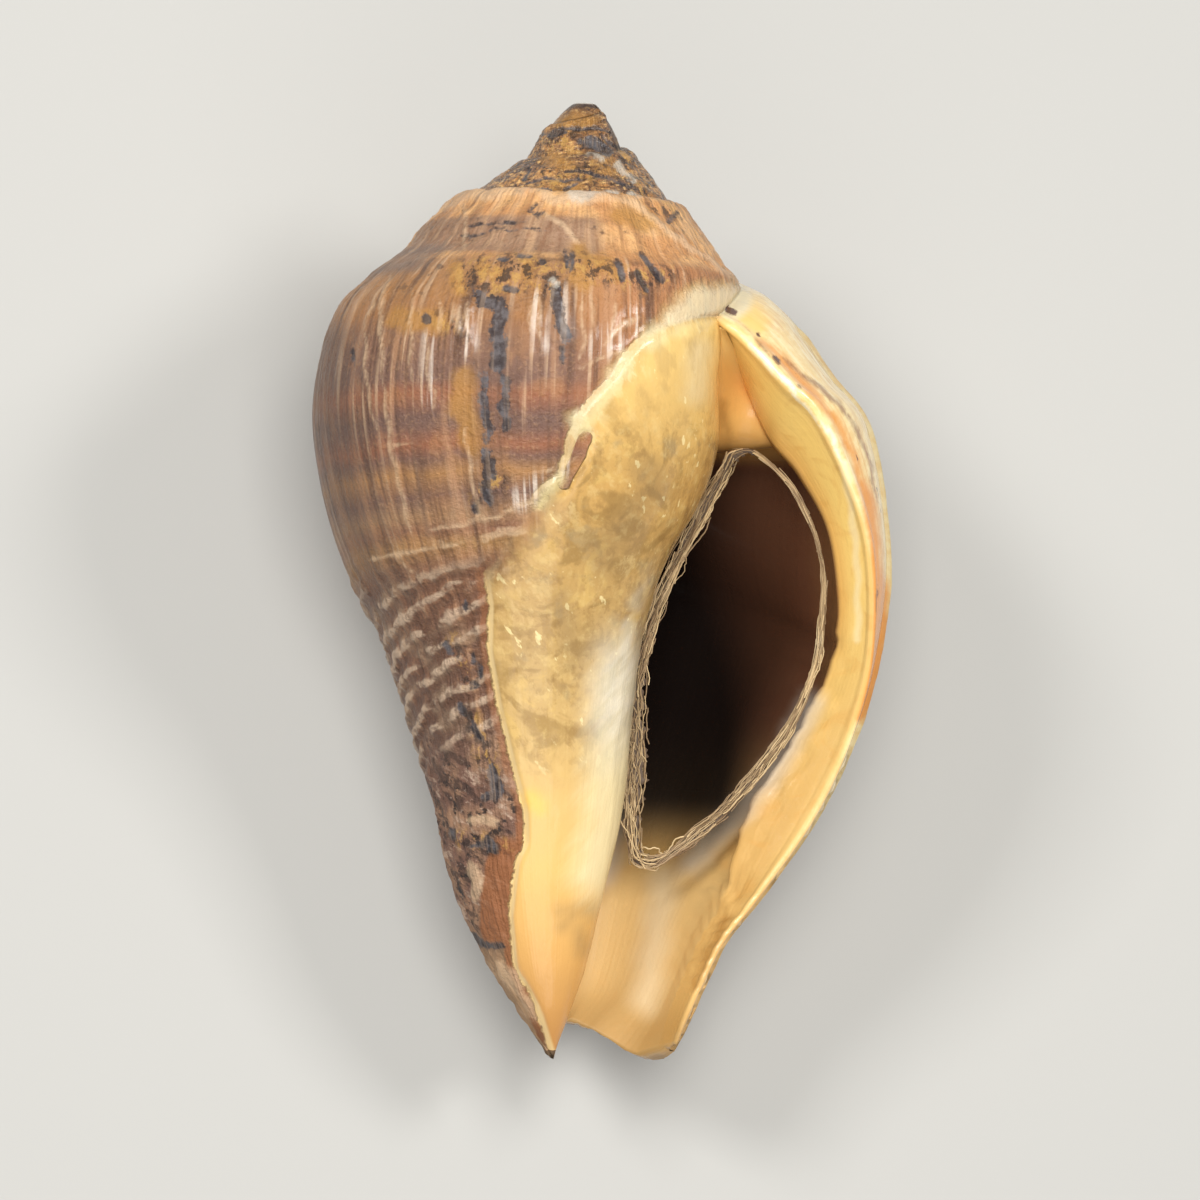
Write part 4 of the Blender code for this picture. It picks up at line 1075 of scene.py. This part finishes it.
    # The back of the canal is pitted and dark, paler at the tip, with a brown strip by the glaze.
    canal = feature.rising(10.2, 11.0)
    drawn_out = (height + across * 0.5).with_axes(across * 0.45, depth * 0.45)
    crusted = drawn_out.noise(0.75, 5.0, 0.66)
    canal_tone = painted(
        coarse.rising(0.4, 0.6).mixed((120, 88, 74), (158, 122, 96)),
        (crusted.rising(0.5, 0.4) * 0.85, (70, 52, 46)),
        (crusted.rising(0.54, 0.64) * 0.8, (198, 170, 148)),
        (patchy.rising(0.44, 0.36) * 0.9, (30, 26, 28)),
        (fine.rising(0.6, 0.7) * 0.5, (206, 182, 162)),
        (feature.rising(12.4, 13.2) * 0.75, (180, 146, 110)),
    )
    beside = (glaze + ragged * 0.3).between(-0.4, 0.2, 0.35) * feature.rising(8.2, 8.8)
    beside = beside.either(glaze.between(-2.2, 0.3, 0.3) * height.between(-70.0, -62.0, 1.0))
    colour = painted(
        colour,
        (canal, canal_tone),
        (beside * height.rising(-58.0, -62.0) * 0.35 + beside * 0.5, (154, 98, 60)),
    )

    # What time left: ochre, slate remnants of skin, scars and crust. Some pale strokes among the scars are
    # painted highlights on the shoulder.
    tops = spot.noise(0.75, 5.0, 0.65).rising(0.6, 0.68) * height.rising(-22.0, -14.0)
    spots = (angle * 30.0).with_axes(feature * 2.2, 9.0).noise(1.0, 4.0, 0.6)
    edge_of_skin = torn * feature.rising(3.4, 4.2) + ragged * 0.35
    around_skin = (skin + edge_of_skin * 1.6).rising(1.4, 0.0) * angle.rising(0.0, -0.1)
    remnants = spots.rising(0.66, 0.7) * feature.between(4.0, 8.2, 0.5) * back
    remnants = remnants.either((dark + ragged * 0.3).rising(0.12, -0.1))
    remnants = remnants.either((skin + edge_of_skin).rising(0.1, -0.16))
    slate = patchy.rising(0.4, 0.62).mixed((50, 46, 50), (96, 94, 98))
    slate = (streak.rising(0.5, 0.62) * 0.5).mixed(slate, (138, 118, 102))
    mottled_zone = (worn + ragged * 0.7).rising(0.6, -0.8)
    blotches = across.with_axes(height * 0.55, depth).noise(1.0, 6.0, 0.68)
    scars_and_highlights = (pale + torn * 0.16 + (fine - 0.5) * 0.5).rising(0.16, -0.2)
    colour = painted(
        colour,
        ((ochre + ragged * 0.6).rising(0.5, -0.5) * 0.7, (182, 132, 66)),
        (tops * 0.6, (66, 54, 48)),
        (around_skin * 0.35, (100, 74, 60)),
        (mottled_zone * blotches.rising(0.52, 0.58) * 0.75, (196, 152, 84)),
        (mottled_zone * blotches.rising(0.48, 0.43) * 0.8, (52, 42, 38)),
        (remnants * 0.9, slate),
        # Pale scars, with painted highlights where the pale strokes stand for glints.
        (scars_and_highlights * 0.55, (220, 188, 152)),
        ((crust + ragged * 0.5).rising(0.2, -0.2) * 0.7, (200, 192, 178)),
    )

    # The glaze over the columella: khaki and mottled above, white at its edge, orange below.
    mottled = height.between(-53.0, -22.0, 5.0)
    lower = mottled * height.rising(-23.0, -30.0)
    flow_values = {"Vector": spot, "Scale": 0.24, "Detail": 5.0, "Distortion": 1.6}
    flowing = paint.node("ShaderNodeTexNoise", {}, flow_values)
    leaning = (across * 0.8 + height * 0.45).with_axes((height - across * 0.5) * 0.3, depth)
    grazed = leaning.noise(0.7, 5.0, 0.66)
    striae = (across * 0.77 - height * 0.64).with_axes((across + height) * 0.12, 3.0).noise(1.5, 2.0)
    pearly = striae.rising(0.35, 0.65).mixed((226, 220, 196), (244, 240, 222))
    pearly = height.rising(-58.0, -50.0).mixed((248, 236, 190), pearly)
    near_white = (white + wander * 0.6).rising(1.1, -0.3) * height.rising(-36.0, -48.0)
    broad_white = (white + (striae - 0.5) * 1.6).rising(3.8, -0.3) * height.rising(-41.5, -48.0)
    rim = glaze.between(0.05, 0.45, 0.3) * height.rising(-39.0, -42.0)
    upper_rim = (glaze + ragged * 0.5).between(0.0, 0.7, 0.4) * height.rising(-42.0, -38.0)
    crusty = leaning.noise(0.9, 4.0, 0.62).rising(0.46, 0.56) * glaze.rising(3.6, 0.6)
    dulled = leaning.noise(0.5, 4.0, 0.6).rising(0.52, 0.66) * height.rising(-33.0, -24.0)
    milky = (milk + ragged * 0.2).rising(0.6, -0.5) * glaze.rising(1.4, 0.2)
    poured = (milk + ragged * 0.3).rising(0.5, -0.4) * height.rising(-18.5, -20.5)
    glazed = painted(
        (height * -1.0).ramp(GLAZE_TONES, SHELL_LENGTH),
        (flowing.rising(0.5, 0.36) * lower * 0.6, (150, 118, 68)),
        (flowing.rising(0.54, 0.68) * mottled * 0.5, (222, 186, 112)),
        (coarse.rising(0.56, 0.7) * lower * 0.55, (160, 140, 104)),
        (patchy.rising(0.54, 0.7) * mottled * 0.4, (224, 194, 128)),
        (patchy.rising(0.46, 0.34) * lower * 0.3, (150, 114, 66)),
        (leaning.noise(1.2, 3.0).rising(0.65, 0.7) * mottled * 0.8, (244, 224, 164)),
        (grazed.rising(0.52, 0.66) * mottled * 0.4, (230, 200, 136)),
        (grazed.rising(0.47, 0.36) * lower * 0.4, (150, 116, 68)),
        # Partly painted shade near the mouth's edge, partly a grey-green stain.
        (shade.rising(1.2, -0.6) * 0.4, (146, 120, 84)),
        (near_white.either(broad_white) * 0.8, pearly),
        (rim * 0.8, (236, 206, 146)),
        (upper_rim * 0.5, (232, 214, 162)),
        ((bare + wander * 0.8).rising(1.4, -0.8) * 0.6, (226, 206, 164)),
        (crusty * height.rising(-32.0, -28.0) * 0.6, (244, 232, 178)),
        (dulled * 0.4, (186, 152, 96)),
        ((amber + ragged * 0.3).rising(0.8, -0.6) * 0.8, (244, 200, 104)),
        (milky * 0.8, (232, 218, 184)),
        (poured * 0.7, (238, 224, 166)),
    )
    melted = height.between(-38.5, -34.5, 2.5)
    melted_cover = (glaze + wander * 2.0 + ragged * 0.6).rising(-0.4, 3.4)
    crisp_cover = (glaze + ragged * 0.45).rising(-0.12, 0.16)
    covered = (crisp_cover + (melted_cover - crisp_cover) * melted) * window.rising(-0.05, 0.08)
    thin = glaze.rising(0.2, 2.6).either(height.rising(-36.0, -44.0)) * 0.35 + 0.65
    covered = (covered * thin).either((milk + ragged * 0.5).rising(0.9, -0.7) * 0.8)
    colour = covered.mixed(colour, glazed)

    # The lip: cream over its outside with purple and orange along it, golden inside, with painted shade in
    # the throat and the upper corner and a painted highlight along its edge.
    lip_out = inside.rising(0.0, 0.16).either(angle.rising(-0.16, -0.06)) * columella.rising(0.1, 0.0)
    along_lip = (inside * 11.0 + angle * 3.0).with_axes(feature * 0.4).noise(1.0, 4.0, 0.6)
    cream = painted(
        patchy.rising(0.35, 0.65).mixed((240, 208, 144), (250, 228, 172)),
        (along_lip.rising(0.5, 0.64) * 0.55, (222, 168, 104)),
        (along_lip.rising(0.46, 0.34) * 0.5, (255, 242, 206)),
        (feature.rising(8.0, 10.5) * 0.6, (232, 172, 92)),
        ((orange + ragged * 0.2).rising(0.5, -0.4) * 0.85, (226, 142, 52)),
        ((purple + ragged * 0.2).rising(0.1, -0.25) * 0.7, (122, 64, 42)),
        ((amber + ragged * 0.3).rising(0.8, -0.6) * 0.8, (246, 204, 110)),
        (milky * 0.8, (232, 222, 188)),
    )
    golden = painted(
        height.rising(-60.0, -34.0).mixed((212, 170, 102), (254, 218, 130)),
        (inside.rising(1.45, 1.95) * height.rising(-50.0, -40.0) * 0.5, (222, 152, 72)),
        (inside.rising(1.35, 1.02) * 0.5, (250, 214, 140)),
        (flowing.rising(0.5, 0.66) * 0.25, (222, 160, 76)),
    )
    face = inside.rising(0.96, 1.08)
    throat = inside.rising(1.86, 2.06)
    # Painted shade: the throat turns dark brown higher up, where it goes deep into the mouth; tan below.
    throat_tone_and_shade = height.rising(-66.0, -50.0).mixed((200, 160, 104), (96, 56, 46))
    corner = height.rising(-30.5, -26.0) * throat
    # Painted shade: the corner's wall darker towards its lower edge, where it turns into the hollow.
    corner_tone_and_shade = height.rising(-29.4, -26.0).mixed((168, 112, 60), (236, 184, 104))
    corner_tone_and_shade = height.rising(-26.0, -20.0).mixed(corner_tone_and_shade, (250, 208, 126))
    bare_band = (bare + wander * 0.5).rising(1.8, -0.8)
    low_lip = height.rising(-45.0, -50.0)
    silver = (white + wander * 1.2).rising(1.8, -0.6) * inside.rising(1.5, 1.8) * low_lip
    lip = painted(
        face.mixed(cream, golden),
        (throat * height.rising(-64.0, -58.0) * height.rising(-27.0, -30.0) * 0.95, throat_tone_and_shade),
        (corner, corner_tone_and_shade),
        (throat * height.rising(-62.0, -66.0) * 0.7, (216, 182, 122)),
        (height.rising(-73.0, -79.0) * 0.6, (160, 118, 62)),
        (bare_band * throat * 0.8, (232, 210, 168)),
        (silver * 0.6, (206, 200, 188)),
        # Painted highlight: the bright line along the lip's glossy edge.
        ((white + wander * 0.3).rising(0.3, -0.2) * (1.0 - low_lip) * 0.6, (255, 240, 192)),
        # Painted shade in the crease of the mouth's upper corner, and brown stains along the canal's edge.
        ((shade + ragged * 0.3).rising(0.6, -0.4) * face * 0.6, (166, 118, 58)),
        (remnants * inside.rising(1.0, 0.9), (92, 50, 32)),
        # Painted highlight: the pale stroke along the lip's ridge.
        ((pale + (fine - 0.5) * 0.3).rising(0.12, -0.14) * 0.9, (255, 246, 214)),
    )

    # The columella's far side, painted dark grey as shade, and the hollow, painted near black as shade,
    # which darkens quickly.
    wall_tone_and_shade = painted(
        broad_streak.rising(0.46, 0.6).mixed((74, 64, 56), (124, 112, 100)),
        (height.rising(-56.0, -63.0), (200, 160, 108)),
        (height.rising(-31.5, -29.0), corner_tone_and_shade),
        (bare_band * 0.8, (232, 210, 168)),
    )
    painted_hollow_shade = inside.rising(2.02, 2.22) * height.rising(-66.0, -58.0) * height.rising(-28.5, -30.5)
    colour = painted(
        colour,
        (lip_out, lip),
        (columella * inside.rising(0.0, 0.5), wall_tone_and_shade),
        (painted_hollow_shade * 0.97, (20, 17, 16)),
    )

    glossy = covered.either(inside.rising(0.0, 0.2)).either(lip_out)
    wetness = gloss.rising(0.8, -0.6)
    in_canal = inside.rising(1.3, 1.8) * height.rising(-56.0, -62.0)
    sheltered = corner.either(in_canal).either(columella * inside.rising(0.02, 0.2))
    rough_outside = 0.36 + 0.24 * canal - 0.08 * spire + (patchy - 0.5) * 0.4
    rough_outside = rough_outside * (1.0 - wetness * 0.5)
    grain = (streak * 0.8 + fine * 0.7 + patchy * 0.7) * (1.0 - glossy * 0.85)
    feed(surface, {
        "Base Color": colour,
        "Roughness": rough_outside + (GLAZE_ROUGHNESS - rough_outside) * glossy + sheltered * 0.3,
        "Normal": paint.node(
            "ShaderNodeBump", {}, {"Strength": 1.0, "Distance": GRAIN_DEPTH, "Height": grain}
        ),
        "Coat Weight": glossy * COAT * (1.0 - sheltered * 0.95) + wetness * WET_COAT + spire * SPIRE_COAT,
        "Coat Roughness": 0.12,
        "Specular IOR Level": 0.35,
    })
    return material


shell_data = grown_surface().mesh("seashell")
merged(shell_data, MERGE)
shell_places = corners_of(shell_data)
seen = seen_from_mouth(shell_places)
on_front = shell_places[:, 2] > FRONT_BELOW
brushed = {
    name: mark_distance(seen, on_front | (name in DEEP_MARKS), strokes, TAPERS.get(name, 0.0))
    for name, strokes in MARKS.items()
}
store(shell_data, "shell_place", shell_places)
for group, names in {
    "marks_outside": ("dark", "ochre", "pale"), "marks_crust": ("crust", "purple", "orange"),
    "marks_glaze": ("white", "window", "bare"), "marks_soft": ("milk", "amber", "shade"),
    "marks_worn": ("worn", "skin", "gloss"),
}.items():
    store(shell_data, group, np.stack([brushed[name] for name in names], axis=-1))
shell_paint = shell_finish()
shell_data = applied("seashell", shell_data, relief_tree(shell_paint), RELIEF)
lay_down(shell_data)
wear_flat(shell_data)
seashell = piece("seashell", shell_data, shell_paint)
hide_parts("shell")
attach(seashell, "root")

# What is left of the operculum, the horny lid of the mouth: a torn ring of layered brown
# fibres in the throat. Each station has the outer edge, the inner edge and the height.
RIM = [
    (15.2, -28.7, 15.2, -29.1, 2.0), (12.9, -28.9, 13.8, -29.4, 2.0), (12.3, -30.2, 13.2, -30.6, 1.2),
    (11.2, -32.2, 12.3, -32.6, 0.4), (10.2, -34.4, 11.3, -34.5, 0.0), (9.2, -36.6, 10.3, -36.5, -0.4),
    (8.3, -39.0, 9.2, -38.9, -0.7), (7.3, -41.6, 8.2, -41.3, -0.9), (6.4, -44.5, 7.3, -44.3, -1.0),
    (5.3, -48.0, 6.7, -48.0, -1.0), (5.2, -52.0, 6.8, -52.0, -1.1), (5.2, -56.0, 7.0, -56.0, -1.2),
    (5.4, -60.0, 6.6, -59.7, -1.4), (6.0, -63.4, 6.8, -62.4, -1.6), (7.6, -63.9, 8.0, -62.9, -1.7),
    (9.3, -63.0, 9.3, -62.4, -1.8), (11.4, -61.5, 11.2, -60.6, -1.8), (13.4, -59.8, 12.9, -59.1, -1.7),
    (15.2, -57.8, 14.6, -57.2, -1.6), (16.9, -55.6, 16.2, -55.1, -1.4), (18.9, -52.6, 18.2, -52.2, -1.0),
    (20.3, -49.2, 19.8, -49.0, -0.5), (21.3, -46.0, 20.8, -45.9, 0.1), (21.5, -42.8, 21.0, -42.8, 0.7),
    (21.5, -39.4, 21.1, -39.5, 1.2), (20.8, -36.2, 20.5, -36.3, 1.6), (19.6, -33.4, 19.3, -33.6, 1.8),
    (17.9, -30.9, 17.7, -31.1, 1.9),
]
RIM_THICKNESS = 0.35
RIM_RIDGE = 0.06
RIM_ROUGHNESS = 0.05
RIM_RAGGED = (-0.3, 0.1)
RIM_WAVE, RIM_WAVE_STEP = 0.15, 0.9
RIM_SEED = 4
RIM_STEPS = 14
RIM_ACROSS = 5
FIBRES = {
    "Fibres": 420.0, "Thickness": 0.05, "Spread": 1.0, "Fray": 0.6, "Shortest": 0.02,
    "Longest": 0.09, "Seed": 5.0,
}
STRAY_STEPS = (7.3, 3.1, 1.7)
LOOSE_FROM = 0.9         # chance above which a fibre strays further
LOOSE_BY = 2.5


def rim_stations():
    """The stations again, closer together, on a closed smooth curve."""
    count = len(RIM)
    return smooth(RIM * 3, count + np.arange(count * RIM_STEPS) / RIM_STEPS)


def rim_band():
    """The band that the fibres lie on, with ragged edges, as a closed loft."""
    stations = rim_stations()
    rng = np.random.default_rng(RIM_SEED)
    outer, inner, height = stations[:, :2], stations[:, 2:4], stations[:, 4:]
    wave = RIM_WAVE * np.sin(np.arange(len(stations))[:, None] * RIM_WAVE_STEP)
    inner = inner + (inner - outer) * (rng.uniform(*RIM_RAGGED, (len(stations), 1)) + wave)
    t = np.linspace(0.0, 1.0, RIM_ACROSS)[:, None, None]
    rough = RIM_ROUGHNESS * rng.uniform(-1.0, 1.0, (RIM_ACROSS, len(stations), 1))
    ridge = RIM_RIDGE * np.sin(math.pi * t) + rough
    flat = outer + (inner - outer) * t
    level = np.broadcast_to(height, flat[..., :1].shape)
    top = np.concatenate([flat, level + ridge], axis=-1)
    low = np.concatenate([flat, level - RIM_THICKNESS], axis=-1)
    rings = np.concatenate([top, low[::-1]])
    rings = np.concatenate([rings, rings[:1]])
    made = Surface()
    grid = made.add(rings, (0.0, 0.0, 0.0), (0.0, 0.0))
    made.loft(np.concatenate([grid, grid[:, :1]], axis=1))
    return made.mesh("operculum_band")


def rim_line():
    """The line that the fibres follow, as edges."""
    stations = rim_stations()
    middle = 0.5 * (stations[:, :2] + stations[:, 2:4])
    points = np.concatenate([middle, stations[:, 4:]], axis=1)
    edges = [(i, (i + 1) % len(points)) for i in range(len(points))]
    data = bpy.data.meshes.new("operculum_line")
    data.from_pydata(points.tolist(), edges, [])
    store(data, "reach", np.linalg.norm(stations[:, 2:4] - stations[:, :2], axis=1))
    return data


def fibre_tree(material):
    """Many copies of the line, each strayed, cut to a random length and given a thickness."""
    tree, geometry, sizes = modifier_tree("operculum fibres", FIBRES)
    count, thickness, spread, fray, shortest, longest, seed = sizes
    line = geometry.node("GeometryNodeMeshToCurve", {}, {0: geometry})
    copies = line.node(
        "GeometryNodeDuplicateElements", {"domain": "SPLINE"}, {"Geometry": line, "Amount": count}
    )
    number = Field(tree, copies.socket.node.outputs["Duplicate Index"])

    def chance(low, high, which):
        values = {2: low, 3: high, "ID": number, "Seed": seed + which}
        return copies.node("FunctionNodeRandomValue", {"data_type": "FLOAT"}, values, 1)

    position = copies.node("GeometryNodeInputPosition", {}, {})
    apart = [number * step for step in STRAY_STEPS]
    strayed = position.node(
        "ShaderNodeVectorMath", {"operation": "ADD"}, {0: position, 1: apart[0].with_axes(*apart[1:])}
    )
    bent = strayed.node("ShaderNodeTexNoise", {}, {"Vector": strayed, "Scale": 0.28, "Detail": 4.0}, 1)
    parts = bent.parts()
    reach = named(tree, "reach")
    loose = chance(0.0, 1.0, 8.0).rising(LOOSE_FROM, 1.0) * LOOSE_BY + 1.0
    shaken = fray * 2.2 * reach * loose
    stray_x = (parts[0] - 0.5) * shaken + chance(-0.5, 0.5, 2.0) * spread * reach
    stray_y = (parts[1] - 0.5) * shaken + chance(-0.5, 0.5, 1.0) * spread * reach
    stray_z = (parts[2] - 0.5) * shaken * 0.7 + chance(0.0, 0.5, 3.0) * spread
    offset = stray_x.with_axes(stray_y, stray_z)
    moved = copies.node("GeometryNodeSetPosition", {}, {"Geometry": copies, "Offset": offset})
    moved = moved.node(
        "GeometryNodeStoreNamedAttribute", {"data_type": "FLOAT", "domain": "POINT"},
        {"Geometry": moved, "Name": "strand", "Value": chance(0.2, 1.0, 7.0)},
    )
    start = chance(0.0, 0.98, 4.0)
    end = start + chance(shortest, longest, 5.0)
    ends = {"Curve": moved, "Start": start, "End": end}
    cut = moved.node("GeometryNodeTrimCurve", {"mode": "FACTOR"}, ends)
    section = cut.node(
        "GeometryNodeCurvePrimitiveCircle", {"mode": "RADIUS"}, {"Resolution": 5, "Radius": 1.0}
    )
    tubes = cut.node(
        "GeometryNodeCurveToMesh", {},
        {
            "Curve": cut, "Profile Curve": section, "Scale": thickness * chance(0.5, 1.5, 6.0),
            "Fill Caps": True,
        },
    )
    finished(tree, tubes, material)
    return tree


def horn_finish():
    """Dry layered horn: tan fibres with grey and reddish brown between them."""
    material, surface, paint = new_paint("horn_finish")
    strand = paint.node("ShaderNodeAttribute", {"attribute_name": "strand"}, {}, "Fac")
    broad = paint.node("ShaderNodeTexCoord", {}, {}, "Object").noise(120.0, 3.0)
    colour = painted(
        strand.rising(0.0, 0.3).mixed((98, 80, 64), (146, 120, 88)),
        (strand.rising(0.3, 1.0), (212, 186, 142)),
        (broad.rising(0.54, 0.7) * 0.5, (222, 206, 172)),
        (broad.rising(0.46, 0.34) * 0.5, (112, 84, 66)),
    )
    feed(surface, {"Base Color": colour, "Roughness": 0.6})
    return material


horn_paint = horn_finish()
fibres = applied("operculum_fibres", rim_line(), fibre_tree(horn_paint), FIBRES)
band = rim_band()
merged(band, MERGE)
store(band, "strand", np.zeros(len(band.vertices)))
joined = bmesh.new()
joined.from_mesh(band)
joined.from_mesh(fibres)
operculum_data = bpy.data.meshes.new("operculum_rim_fibres")
joined.to_mesh(operculum_data)
joined.free()
lay_down(operculum_data)
operculum = piece("operculum_rim_fibres", operculum_data, horn_paint)
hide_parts("operculum_rim")
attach(operculum, "root")

# The floor and the light: a plain pale floor, and soft lamps from the upper left, the upper
# right, the front and, weakly, from below, with a little light from all round.
floor_data = bpy.data.meshes.new("floor")
floor_data.from_pydata([(-2, -2, 0), (2, -2, 0), (2, 2, 0), (-2, 2, 0)], [], [(0, 1, 2, 3)])
floor_paint, floor_surface, _ = new_paint("floor_paint")
feed(floor_surface, {"Base Color": (0.5, 0.5, 0.485, 1), "Roughness": 0.9})
floor = piece("floor", floor_data, floor_paint)

SHELL_MIDDLE = (0.0, -40.0, 0.0)


def from_shell(point):
    return (LAID @ (Vector(point) - Vector(BACK_POINT))) * MM


def lamp(name, place_mm, size, power, colour):
    """A square soft lamp that faces the shell's middle, placed as seen from the mouth."""
    data = bpy.data.lights.new(name, "AREA")
    data.size = size
    data.energy = power
    data.color = colour
    made = bpy.data.objects.new(name, data)
    made.location = from_shell(place_mm)
    facing = from_shell(SHELL_MIDDLE) - made.location
    made.rotation_euler = facing.to_track_quat("-Z", "Y").to_euler()
    bpy.context.scene.collection.objects.link(made)


lamp("left", (-250.0, 180.0, 420.0), 0.14, 1.4, (1.0, 0.98, 0.95))
lamp("right", (340.0, 140.0, 330.0), 0.12, 1.1, (1.0, 0.98, 0.95))
lamp("front", (40.0, 60.0, 540.0), 0.25, 2.1, (1.0, 0.98, 0.94))
lamp("low", (40.0, -360.0, 380.0), 0.3, 0.45, (1.0, 0.98, 0.95))
world = bpy.data.worlds.new("room")
world.use_nodes = True
feed(world.node_tree.nodes["Background"], {"Color": (1.0, 0.98, 0.96, 1.0), "Strength": 0.14})
bpy.context.scene.world = world
bpy.context.scene.view_settings.view_transform = "Standard"

# The camera looks down on the shell from straight in front of its mouth, as the photograph does.
CAMERA_ROLL = math.radians(1.9)
FRAME_WIDTH = 100.56
SENSOR = 36.0
camera_data = bpy.data.cameras.new("camera")
camera_data.sensor_width = SENSOR
camera_data.lens = SENSOR * EYE[2] / FRAME_WIDTH
camera_data.clip_start = 0.01
camera = bpy.data.objects.new("camera", camera_data)
turned = LAID @ Matrix.Rotation(CAMERA_ROLL, 4, "Z")
camera.matrix_world = Matrix.Translation(from_shell(EYE)) @ turned
bpy.context.scene.collection.objects.link(camera)
bpy.context.scene.camera = camera
